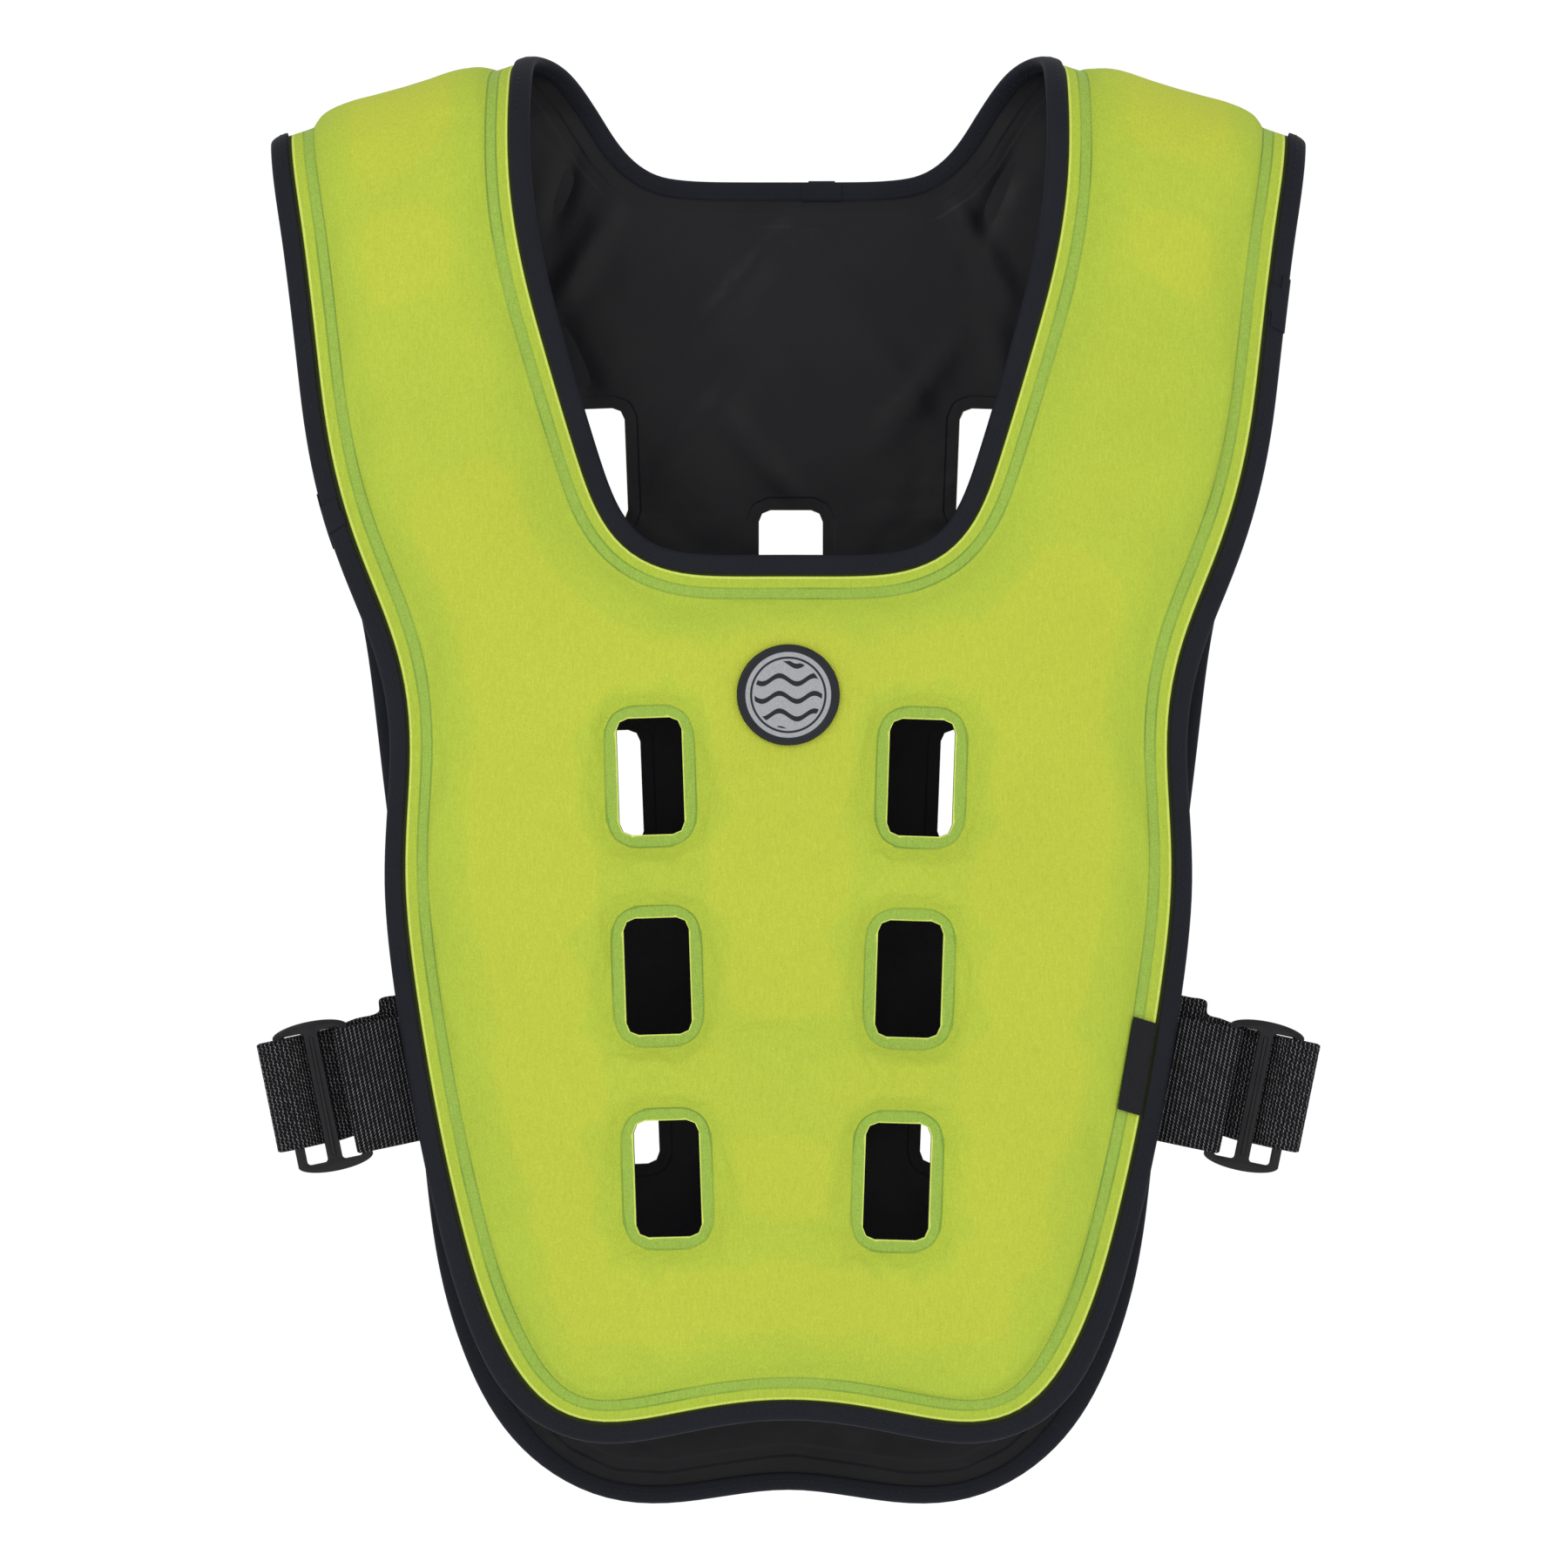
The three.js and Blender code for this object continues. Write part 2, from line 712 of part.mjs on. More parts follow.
// Long strap: free tail, threaded through the slider, round its outer bar, and back to
// its seam behind the edge of the back panel.
function longPath(frame) {
  const lift = sliderThick / 2 + wrapClear + strapThick / 2;
  // The strap is narrower than the slots and has slipped to their upper end.
  const slip = (slotTall - strapWide) / 2 - slotClear;
  // The left tail is tucked further in behind the front edge than the right one.
  const tuck = frame.side < 0 ? leftTailTuck : 0;
  const path = threading.map((row) => ({
    out: sliderOut + row.out * barPitch - (row.out < -1.5 ? tuck : 0),
    aft: row.aft * lift,
    rise: slip + row.rise * tailRise,
  }));
  const behind = bindingUnder + rootClear + strapThick / 2;
  const leaving = path[path.length - 1];
  const seam = { out: -strapRoot * 0.2, aft: frame.backDepth(strapRoot * 0.2) - behind, rise: slip };
  for (const share of [0.14, 0.45, 0.78, 0.9]) {
    const sag = share > 0.8 ? 0.25 * behind : 0;
    path.push({
      out: THREE.MathUtils.lerp(leaving.out, seam.out, share),
      aft: THREE.MathUtils.lerp(leaving.aft, seam.aft, share) + sag,
      rise: slip,
    });
  }
  path.push(seam);
  path.push({ out: -strapRoot, aft: frame.backDepth(strapRoot) - behind, rise: slip });
  return path;
}

// A flat ribbon swept along a path of stations; "side" is -1 left and +1 right.
function ribbon(makePath, wide, thick, side) {
  const frame = strapFrame(side);
  const path = makePath(frame);
  const body = startBody();
  const sections = path.map((row, k) => {
    const here = new THREE.Vector2(row.out, row.aft);
    const last = path[Math.max(k - 1, 0)];
    const next = path[Math.min(k + 1, path.length - 1)];
    const before = new THREE.Vector2(last.out, last.aft);
    const after = new THREE.Vector2(next.out, next.aft);
    const arriving = k === 0 ? after.clone().sub(here) : here.clone().sub(before);
    const leaving = k === path.length - 1 ? here.clone().sub(before) : after.clone().sub(here);
    const mitre = arriving.normalize().add(leaving.normalize()).normalize();
    const across = new THREE.Vector2(-mitre.y, mitre.x);
    const stretch = 1 / Math.max(mitre.dot(leaving), 0.6);
    const indices = [];
    for (const [face, edge] of [[-1, -1], [1, -1], [1, 1], [-1, 1]]) {
      const flat = here.clone().addScaledVector(across, face * thick * 0.5 * stretch);
      const at = frame.centre.clone();
      at.addScaledVector(frame.out, flat.x);
      at.y += flat.y;
      at.addScaledVector(frame.up, edge * wide * 0.5 + (row.rise || 0));
      body.positions.push(at.x, at.y, at.z);
      indices.push(body.positions.length / 3 - 1);
    }
    return indices;
  });
  for (let k = 0; k < sections.length - 1; k++) {
    addBand(body, sections[k], sections[k + 1], side < 0);
  }
  const first = sections[0];
  const end = sections[sections.length - 1];
  if (side < 0) {
    body.indices.push(first[0], first[1], first[2], first[0], first[2], first[3]);
    body.indices.push(end[0], end[2], end[1], end[0], end[3], end[2]);
  } else {
    body.indices.push(first[0], first[2], first[1], first[0], first[3], first[2]);
    body.indices.push(end[0], end[1], end[2], end[0], end[2], end[3]);
  }
  return finishBody(body);
}

const manifold = await initManifold();
manifold.setup();

function toManifold(geometry) {
  const plain = geometry.clone();
  plain.deleteAttribute('normal');
  plain.deleteAttribute('uv');
  const merged = mergeVertices(plain, 1e-4);
  return new manifold.Manifold(new manifold.Mesh({
    numProp: 3,
    vertProperties: new Float32Array(merged.attributes.position.array),
    triVerts: new Uint32Array(merged.index.array),
  }));
}

function toGeometry(solid) {
  const mesh = solid.getMesh();
  const geometry = new THREE.BufferGeometry();
  geometry.setAttribute('position', new THREE.BufferAttribute(mesh.vertProperties, 3));
  geometry.setIndex(new THREE.BufferAttribute(mesh.triVerts, 1));
  return geometry;
}

// Moulded three-bar slider with rounded ends and a grip ridge on its middle bar.
function slider(side) {
  const halfWide = sliderWide / 2 - sliderBevel;
  const straight = slotTall / 2 + 0.1;
  const endRise = sliderTall / 2 - sliderBevel - straight;
  const outline = new THREE.Shape();
  outline.absellipse(0, straight, halfWide, endRise, 0, Math.PI, false);
  outline.absellipse(0, -straight, halfWide, endRise, Math.PI, Math.PI * 2, false);
  for (const slotSide of [-1, 1]) {
    const near = middleBarWide / 2 - sliderBevel;
    const far = sliderWide / 2 - barWide + sliderBevel;
    const from = slotSide < 0 ? -far : near;
    const to = slotSide < 0 ? -near : far;
    const slot = new THREE.Path();
    const half = slotTall / 2 + sliderBevel;
    slot.moveTo(from + 1, -half);
    slot.lineTo(from, -half + 1);
    slot.lineTo(from, half - 1);
    slot.lineTo(from + 1, half);
    slot.lineTo(to - 1, half);
    slot.lineTo(to, half - 1);
    slot.lineTo(to, -half + 1);
    slot.lineTo(to - 1, -half);
    outline.holes.push(slot);
  }
  const frame = new THREE.ExtrudeGeometry(outline, {
    depth: sliderThick - sliderBevel * 2,
    bevelThickness: sliderBevel,
    bevelSize: sliderBevel,
    bevelSegments: 1,
    curveSegments: 8,
  });
  frame.translate(0, 0, -sliderThick / 2 + sliderBevel);
  const ridge = new THREE.CylinderGeometry(ridgeRadius, ridgeRadius, slotTall - barWide, 6);
  ridge.translate(0, 0, sliderThick / 2);
  const geometry = toGeometry(toManifold(frame).add(toManifold(ridge)));
  const place = strapFrame(side);
  geometry.rotateX(Math.PI / 2);
  geometry.rotateY(side * THREE.MathUtils.degToRad(strapTilt));
  const centre = place.centre.addScaledVector(place.out, sliderOut);
  geometry.translate(centre.x, centre.y, centre.z);
  geometry.computeVertexNormals();
  return geometry;
}

// Woven side label, tucked against the binding on the right of the front.
function sideLabel() {
  const body = startBody();
  const outerSide = [];
  const innerSide = [];
  const rows = 3;
  for (let k = 0; k <= rows; k++) {
    const down = labelDownShare * frontLength + (labelTall * k) / rows;
    const outer = frontHalf(down) - bindingWide - 2 * trimClear;
    outerSide.unshift(new THREE.Vector2(outer, -down));
    innerSide.push(new THREE.Vector2(outer - labelWide, -down));
  }
  const ring = [...innerSide, ...outerSide];
  const plain = triangulate([ring], []);
  const under = marginTop + trimClear;
  const lower = addRing(body, ring, under);
  const upper = addRing(body, ring, under + labelThick);
  addRegion(body, [ring], [upper], plain, under + labelThick, false);
  addRegion(body, [ring], [lower], plain, under, true);
  addBand(body, lower, upper, false);
  return finishBody(body);
}

// Plain round chest badge with a raised rim.
function chestBadge() {
  const body = startBody();
  const rim = badgeRadius * 0.14;
  const chamfer = badgeThick * 0.35;
  const sides = 20;
  const steps = [
    { radius: badgeRadius, height: 0 },
    { radius: badgeRadius, height: badgeThick - chamfer },
    { radius: badgeRadius - chamfer, height: badgeThick },
    { radius: badgeRadius - rim + chamfer, height: badgeThick },
    { radius: badgeRadius - rim, height: badgeThick - chamfer },
  ];
  const over = (height) => (p) => padHeight(p) + trimClear + height;
  const rings = steps.map((step) => addRing(body, badgeCircle(step.radius, sides), over(step.height)));
  for (let k = 0; k < rings.length - 1; k++) {
    addBand(body, rings[k], rings[k + 1], false);
  }
  const outer = badgeCircle(badgeRadius, sides);
  const inner = badgeCircle(badgeRadius - rim, sides);
  addRegion(body, [outer], [rings[0]], triangulate([outer], [badgeMiddle]), over(0), true);
  addRegion(body, [inner], [rings[4]], triangulate([inner], [badgeMiddle]), over(badgeThick - chamfer), false);
  return finishBody(body);
}

const group = new THREE.Group();
group.name = 'cooling_vest';

function addPiece(name, geometry, color, roughness) {
  const material = new THREE.MeshStandardMaterial({ color, roughness, metalness: 0 });
  const mesh = new THREE.Mesh(geometry, material);
  mesh.name = name;
  group.add(mesh);
}

addPiece('outer_shell', outerShell(), lime, 0.85);
addPiece('inner_lining', innerLining(), black, 0.6);
addPiece('edge_binding', binding(edgeLoop), navy, 0.8);
addPiece('neck_binding', binding(neckLoop), navy, 0.8);
addPiece('left_strap_loop', ribbon(loopPath, loopWide, loopThick, -1), black, 0.9);
addPiece('right_strap_loop', ribbon(loopPath, loopWide, loopThick, 1), black, 0.9);
addPiece('left_side_strap', ribbon(longPath, strapWide, strapThick, -1), black, 0.95);
addPiece('right_side_strap', ribbon(longPath, strapWide, strapThick, 1), black, 0.95);
addPiece('left_slider', slider(-1), moulded, 0.45);
addPiece('right_slider', slider(1), moulded, 0.45);
addPiece('side_label', sideLabel(), black, 0.8);
addPiece('chest_badge', chestBadge(), silver, 0.5);

export default group;
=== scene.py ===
import math
import bmesh
import bpy
import numpy as np
from mathutils import Matrix, Vector
from mathutils.bvhtree import BVHTree


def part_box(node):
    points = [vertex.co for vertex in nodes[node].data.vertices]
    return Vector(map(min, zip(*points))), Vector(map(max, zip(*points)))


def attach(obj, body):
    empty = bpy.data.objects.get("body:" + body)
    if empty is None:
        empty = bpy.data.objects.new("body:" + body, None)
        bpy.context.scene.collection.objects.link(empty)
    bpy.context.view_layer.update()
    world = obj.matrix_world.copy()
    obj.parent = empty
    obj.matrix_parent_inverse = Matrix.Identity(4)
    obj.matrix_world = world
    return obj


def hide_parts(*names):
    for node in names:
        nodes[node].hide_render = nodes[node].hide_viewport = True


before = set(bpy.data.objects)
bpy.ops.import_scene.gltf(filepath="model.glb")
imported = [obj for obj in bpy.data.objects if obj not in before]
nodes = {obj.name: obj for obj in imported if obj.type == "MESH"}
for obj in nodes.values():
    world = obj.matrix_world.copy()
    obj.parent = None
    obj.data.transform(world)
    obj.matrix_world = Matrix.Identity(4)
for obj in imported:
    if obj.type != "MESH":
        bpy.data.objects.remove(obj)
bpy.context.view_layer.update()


# The outer cover is lime polyester twill over a water-holding fill. It is welded flat in a
# narrow band round the rim and round every vent, and swells between the welds.
def pick(*objects):
    bpy.ops.object.select_all(action="DESELECT")
    for one in objects:
        one.select_set(True)
    bpy.context.view_layer.objects.active = objects[0]


def joined_copy(node, name):
    piece = bpy.data.objects.new(name, nodes[node].data.copy())
    bpy.context.scene.collection.objects.link(piece)
    piece.data.materials.clear()
    pick(piece)
    if piece.data.has_custom_normals:
        bpy.ops.mesh.customdata_custom_splitnormals_clear()
    bpy.ops.object.mode_set(mode="EDIT")
    bpy.ops.mesh.select_all(action="SELECT")
    bpy.ops.mesh.remove_doubles(threshold=0.00003)
    bpy.ops.object.mode_set(mode="OBJECT")
    return piece


def rim_loops(piece, angle):
    """Closed loops of corners sharper than angle: each a list of vertex numbers."""
    mesh = bmesh.new()
    mesh.from_mesh(piece.data)
    nearby = {}
    for edge in mesh.edges:
        if len(edge.link_faces) == 2 and edge.calc_face_angle() > angle:
            a, b = (v.index for v in edge.verts)
            nearby.setdefault(a, []).append(b)
            nearby.setdefault(b, []).append(a)
    mesh.free()
    loops = []
    left = {v for v, others in nearby.items() if len(others) == 2}
    while left:
        loop = [left.pop()]
        while True:
            onward = [v for v in nearby[loop[-1]] if v in left]
            if not onward:
                break
            loop.append(onward[0])
            left.discard(onward[0])
        loops.append(loop)
    return loops


def places(piece):
    flat = np.empty(len(piece.data.vertices) * 3)
    piece.data.vertices.foreach_get("co", flat)
    return flat.reshape(-1, 3)


def loop_length(points):
    return np.linalg.norm(points - np.roll(points, -1, 0), axis=1).sum()


def away_from(points, loops):
    """Distance in millimetres of every point from the nearest of the loops."""
    nearest = np.full(len(points), 1e3)
    for loop in loops:
        for start, end in zip(loop, np.roll(loop, -1, 0)):
            side = end - start
            share = np.clip((points - start) @ side / max(side @ side, 1e-12), 0, 1)
            gap = np.linalg.norm(points - start - share[:, None] * side, axis=1)
            nearest = np.minimum(nearest, gap)
    return nearest * 1000


def note(piece, name, values):
    attribute = piece.data.attributes.new(name, "FLOAT", "POINT")
    attribute.data.foreach_set("value", np.asarray(values, np.float32))


def apply_all(piece):
    pick(piece)
    for modifier in list(piece.modifiers):
        bpy.ops.object.modifier_apply(modifier=modifier.name)


def follow_rings(piece, loops, rings, away):
    """Steps from the rim row by row; each row's points take the flat distance of their ring."""
    beside = [[] for _ in piece.data.vertices]
    for edge in piece.data.edges:
        a, b = edge.vertices
        beside[a].append(b)
        beside[b].append(a)
    row = {v for loop in loops for v in loop}
    done = set(row)
    for ring in rings:
        onward = {other for v in row for other in beside[v]} - done
        row = {v for v in onward if 0.9 * ring < away[v] < 1.35 * ring + 0.6}
        away[list(row)] = ring
        done |= row


def measure_from_rims(piece, rim_rings, vent_rings):
    """Notes each point's distance from the panel's rim and from the nearest vent."""
    points = places(piece)
    loops = rim_loops(piece, math.radians(60))
    rims = [loop for loop in loops if loop_length(points[loop]) > 0.5]
    vents = [loop for loop in loops if loop_length(points[loop]) <= 0.5]
    rim_places = [points[loop] for loop in rims]
    vent_places = [points[loop] for loop in vents]
    away_rim = away_from(points, rim_places)
    away_vent = away_from(points, vent_places)
    away_rim[[v for loop in rims for v in loop]] = 0
    away_vent[[v for loop in vents for v in loop]] = 0
    follow_rings(piece, rims, rim_rings, away_rim)
    follow_rings(piece, vents, vent_rings, away_vent)
    note(piece, "from_rim", away_rim)
    note(piece, "from_vent", away_vent)
    return away_vent, rim_places, vent_places


def split_long_sides(piece, away_vent, rings):
    """Cuts the long sides of the vent rings in four, so that they stay straight."""
    bpy.ops.object.mode_set(mode="EDIT")
    bpy.ops.mesh.select_all(action="DESELECT")
    bpy.ops.object.mode_set(mode="OBJECT")
    points = places(piece)
    for edge in piece.data.edges:
        a, b = edge.vertices
        on_ring = away_vent[a] == away_vent[b] and away_vent[a] in rings
        edge.select = bool(on_ring and np.linalg.norm(points[a] - points[b]) > 0.009)
    bpy.ops.object.mode_set(mode="EDIT")
    bpy.ops.mesh.select_mode(type="EDGE")
    bpy.ops.mesh.subdivide(number_cuts=3)
    bpy.ops.mesh.select_mode(type="VERT")
    bpy.ops.object.mode_set(mode="OBJECT")


def noted(piece, name):
    values = np.empty(len(piece.data.vertices), np.float32)
    piece.data.attributes[name].data.foreach_get("value", values)
    return np.round(values.astype(float), 3)


def finer_by(piece, levels):
    finer = piece.modifiers.new("finer", "SUBSURF")
    finer.levels = levels
    finer.render_levels = levels
    apply_all(piece)


def round_off(piece, levels, corner_angle, rings=()):
    """Rings stay as edge loops, loose triangles pair up, then the mesh is subdivided."""
    values = {name: noted(piece, name) for name, at, amount in rings}
    mesh = bmesh.new()
    mesh.from_mesh(piece.data)
    crease = mesh.edges.layers.float.new("crease_edge")
    for edge in mesh.edges:
        a, b = (v.index for v in edge.verts)
        on_ring = False
        for name, at, amount in rings:
            if values[name][a] == at and values[name][b] == at:
                edge[crease] = amount
                on_ring = True
        corner = len(edge.link_faces) == 2 and edge.calc_face_angle() > corner_angle
        if corner:
            edge[crease] = 1.0
        edge.seam = on_ring or corner
    for vertex in mesh.verts:
        vertex.select_set(any(values[name][vertex.index] == at for name, at, amount in rings))
    mesh.select_flush(True)
    mesh.to_mesh(piece.data)
    mesh.free()
    pick(piece)
    bpy.ops.object.mode_set(mode="EDIT")
    if rings:
        bpy.ops.mesh.tris_convert_to_quads(
            face_threshold=math.radians(75), shape_threshold=math.radians(120), seam=True
        )
    bpy.ops.mesh.select_all(action="SELECT")
    bpy.ops.mesh.tris_convert_to_quads(
        face_threshold=math.radians(30), shape_threshold=math.radians(50), seam=True
    )
    bpy.ops.mesh.mark_seam(clear=True)
    bpy.ops.object.mode_set(mode="OBJECT")
    if levels:
        finer_by(piece, levels)
    bpy.ops.object.shade_smooth_by_angle(angle=math.radians(50))


# Millimetres from the rim to each edge of the weld, to where the slope starts and to the pad.
weld_start = 12.3
weld_end = 16.3
slope_start = 20.3
pad_start = 27.3
# Millimetres from a vent to the end of its weld and to the pad.
vent_weld = 4.9
vent_pad = 11
cover = joined_copy("outer_shell", "cover")
cover_vent, cover_rims = measure_from_rims(
    cover, (weld_start, weld_end, slope_start, pad_start), (vent_weld, vent_pad)
)[:2]
split_long_sides(cover, cover_vent, (0, vent_weld, vent_pad))
# Each ring is creased: 1 keeps it sharp, 0 lets it round over.
weld_rings = [
    ("from_rim", weld_start, 0.9),
    ("from_rim", weld_end, 0.9),
    ("from_rim", slope_start, 0.2),
    ("from_rim", pad_start, 0),
    ("from_vent", 0, 1),
    ("from_vent", vent_weld, 0.9),
    ("from_vent", vent_pad, 0),
]
round_off(cover, 1, math.radians(60), weld_rings)


def surface_of(piece):
    corners = [vertex.co for vertex in piece.data.vertices]
    return BVHTree.FromPolygons(corners, [face.vertices for face in piece.data.polygons])


def swell(piece, held, pressure, cap):
    """Cloth with air behind it: held points stay, and no point moves further than cap."""
    before = places(piece)
    group = piece.vertex_groups.new(name="held")
    group.add(np.flatnonzero(held).tolist(), 1.0, "REPLACE")
    cloth = piece.modifiers.new("swell", "CLOTH")
    fabric = cloth.settings
    fabric.quality = 5
    fabric.mass = 0.2
    fabric.tension_stiffness = 25
    fabric.compression_stiffness = 25
    fabric.shear_stiffness = 10
    fabric.bending_stiffness = 1.0
    fabric.shrink_min = -0.012
    fabric.use_pressure = True
    fabric.uniform_pressure_force = pressure
    fabric.effector_weights.gravity = 0
    fabric.vertex_group_mass = "held"
    cloth.collision_settings.use_collision = False
    last_frame = 20
    for number in range(1, last_frame + 1):
        bpy.context.scene.frame_set(number)
    apply_all(piece)
    bpy.context.scene.frame_set(1)
    moved = places(piece) - before
    length = np.linalg.norm(moved, axis=1)
    share = np.minimum(1, cap / np.maximum(length, 1e-9))
    piece.data.vertices.foreach_set("co", (before + moved * share[:, None]).ravel())
    piece.vertex_groups.clear()
    piece.data.update()


# The welds, the cover's inner side and the places of badge and label stay where they are.
flat_height = 0.0028
lining_face = surface_of(nodes["inner_lining"])
above = np.array([lining_face.find_nearest(v.co)[3] for v in cover.data.vertices])
held = above < flat_height
held |= noted(cover, "from_rim") < weld_end + 0.7
held |= noted(cover, "from_vent") < vent_weld + 0.5
for trim, spare in (("chest_badge", 0.006), ("side_label", 0.004)):
    low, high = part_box(trim)
    points = places(cover)
    beside = (points[:, 0] > low.x - spare) & (points[:, 0] < high.x + spare)
    beside &= (points[:, 2] > low.z - spare) & (points[:, 2] < high.z + spare) & (points[:, 1] < 0)
    held |= beside
swell(cover, held, pressure=4.0, cap=0.0026)
finer_by(cover, 1)
bpy.ops.object.shade_smooth_by_angle(angle=math.radians(50))


def add_node(tree, kind, values={}, **settings):
    made = tree.nodes.new(kind)
    for name, value in settings.items():
        setattr(made, name, value)
    for name, value in values.items():
        if isinstance(value, bpy.types.NodeSocket):
            tree.links.new(value, made.inputs[name])
        else:
            made.inputs[name].default_value = value
    return made


def start_group(name, inputs, outputs):
    group = bpy.data.node_groups.new(name, "ShaderNodeTree")
    for label, kind, value in inputs:
        socket = group.interface.new_socket(label, in_out="INPUT", socket_type=kind)
        if value is not None:
            socket.default_value = value
    for label, kind in outputs:
        group.interface.new_socket(label, in_out="OUTPUT", socket_type=kind)
    entry = group.nodes.new("NodeGroupInput")
    leaving = group.nodes.new("NodeGroupOutput")
    return group, entry.outputs, leaving.inputs


def maths(tree, operation, first, second=0.0):
    return add_node(tree, "ShaderNodeMath", {0: first, 1: second}, operation=operation).outputs[0]


def scaled(tree, value, by, plus):
    made = add_node(tree, "ShaderNodeMath", {0: value, 1: by, 2: plus}, operation="MULTIPLY_ADD")
    return made.outputs[0]


def ramp_between(tree, value, low, high, at_low=0.0, at_high=1.0):
    values = {
        "Value": value,
        "From Min": low,
        "From Max": high,
        "To Min": at_low,
        "To Max": at_high,
    }
    made = add_node(tree, "ShaderNodeMapRange", values, interpolation_type="SMOOTHSTEP")
    return made.outputs["Result"]


def blend_colours(tree, share, first, second, how="MIX"):
    made = tree.nodes.new("ShaderNodeMix")
    made.data_type = "RGBA"
    made.blend_type = how
    for number, value in ((0, share), (6, first), (7, second)):
        if isinstance(value, bpy.types.NodeSocket):
            tree.links.new(value, made.inputs[number])
        else:
            made.inputs[number].default_value = value
    return made.outputs[2]


def reading(tree, name):
    return add_node(tree, "ShaderNodeAttribute", attribute_name=name).outputs["Fac"]


# Twill: fine diagonal ribs crossed by slubby threads, from a position in metres.
twill, given, made = start_group(
    "twill_weave",
    [
        ("Position", "NodeSocketVector", None),
        ("Ribs per Metre", "NodeSocketFloat", 1000.0),
        ("Slub", "NodeSocketFloat", 0.4),
    ],
    [("Height", "NodeSocketFloat"), ("Tone", "NodeSocketFloat")],
)
place = add_node(twill, "ShaderNodeSeparateXYZ", {0: given["Position"]})
rise = maths(twill, "ADD", place.outputs["X"], place.outputs["Z"])
fall = maths(twill, "SUBTRACT", place.outputs["X"], place.outputs["Z"])
fall = maths(twill, "ADD", fall, place.outputs["Y"])
turns = maths(twill, "MULTIPLY", given["Ribs per Metre"], 6.2832)
ribs = maths(twill, "SINE", maths(twill, "MULTIPLY", rise, turns))
threads = maths(twill, "SINE", maths(twill, "MULTIPLY", fall, turns))
weave = scaled(twill, ribs, 0.35, 0.5)
crossed = maths(twill, "MULTIPLY", threads, 0.15)
woven = maths(twill, "ADD", weave, crossed)
slubs = add_node(
    twill,
    "ShaderNodeTexNoise",
    {"Vector": given["Position"], "Scale": 900.0, "Detail": 2.0, "Roughness": 0.6},
)
slub = maths(twill, "SUBTRACT", slubs.outputs["Fac"], 0.5)
slub = maths(twill, "MULTIPLY", slub, given["Slub"])
height = maths(twill, "ADD", woven, slub)
twill.links.new(height, made["Height"])
drawn_out = {0: given["Position"], 1: (1500.0, 1500.0, 220.0)}
drawn_out = add_node(twill, "ShaderNodeVectorMath", drawn_out, operation="MULTIPLY").outputs[0]
streaks = add_node(twill, "ShaderNodeTexNoise", {"Vector": drawn_out, "Scale": 1.0, "Detail": 2.0})
streak = maths(twill, "SUBTRACT", streaks.outputs["Fac"], 0.5)
slub = maths(twill, "ADD", slub, maths(twill, "MULTIPLY", streak, given["Slub"]))
patches = add_node(
    twill,
    "ShaderNodeTexNoise",
    {"Vector": given["Position"], "Scale": 14.0, "Detail": 3.0, "Roughness": 0.55},
)
tone = scaled(twill, slub, 0.25, 1.0)
broad = scaled(twill, patches.outputs["Fac"], 0.12, 0.94)
twill.links.new(maths(twill, "MULTIPLY", tone, broad), made["Tone"])

# Mask of a narrow line at one distance from a rim or centre: pressed and printed lines, and painted
# shade and glint.
pressed, given, made = start_group(
    "pressed_line",
    [
        ("Distance", "NodeSocketFloat", 0.0),
        ("At", "NodeSocketFloat", 10.0),
        ("Half Width", "NodeSocketFloat", 0.3),
    ],
    [("Mask", "NodeSocketFloat")],
)
off_line = maths(pressed, "ABSOLUTE", maths(pressed, "SUBTRACT", given["Distance"], given["At"]))
outer_side = maths(pressed, "MULTIPLY", given["Half Width"], 2.0)
mask = ramp_between(pressed, off_line, given["Half Width"], outer_side, 1.0, 0.0)
pressed.links.new(mask, made["Mask"])


def use_group(tree, group, values):
    made = tree.nodes.new("ShaderNodeGroup")
    made.node_tree = group
    for name, value in values.items():
        if isinstance(value, bpy.types.NodeSocket):
            tree.links.new(value, made.inputs[name])
        else:
            made.inputs[name].default_value = value
    return made.outputs


def start_finish(name, piece, roughness, sheen=0.0, gloss=0.25):
    finish = bpy.data.materials.new(name)
    finish.use_nodes = True
    shader = finish.node_tree.nodes["Principled BSDF"]
    shader.inputs["Roughness"].default_value = roughness
    shader.inputs["Sheen Weight"].default_value = sheen
    shader.inputs["Specular IOR Level"].default_value = gloss
    piece.data.materials.append(finish)
    return finish.node_tree, shader


def add_bump(tree, shader, height, strength, distance, normal=None):
    values = {"Height": height, "Strength": strength, "Distance": distance}
    if normal is not None:
        values["Normal"] = normal
    bump = add_node(tree, "ShaderNodeBump", values)
    tree.links.new(bump.outputs["Normal"], shader.inputs["Normal"])
    return bump.outputs["Normal"]


tree, shader = start_finish("lime_twill", cover, 0.78, 0.03, 0.2)
place = add_node(tree, "ShaderNodeTexCoord").outputs["Object"]
from_rim = reading(tree, "from_rim")
from_vent = reading(tree, "from_vent")
cloth = use_group(tree, twill, {"Position": place, "Ribs per Metre": 780.0, "Slub": 0.9})
# The slopes beside the welds are painted darker and greener: painted shade where the pad curves down
# to the welds, with a noisy edge.
wander = add_node(tree, "ShaderNodeTexNoise", {"Vector": place, "Scale": 22.0, "Detail": 3.0})
wander = scaled(tree, wander.outputs["Fac"], 10.0, -5.0)
soft_rim = maths(tree, "ADD", from_rim, wander)
soft_vent = maths(tree, "ADD", from_vent, wander)
rim_slope = ramp_between(tree, soft_rim, 21.0, 34.0, 1.0, 0.0)
vent_slope = ramp_between(tree, soft_vent, 9.5, 15.5, 0.7, 0.0)
slope_shade = maths(tree, "MAXIMUM", rim_slope, vent_slope)
weld_in = ramp_between(tree, from_rim, weld_start - 0.3, weld_start + 0.4)
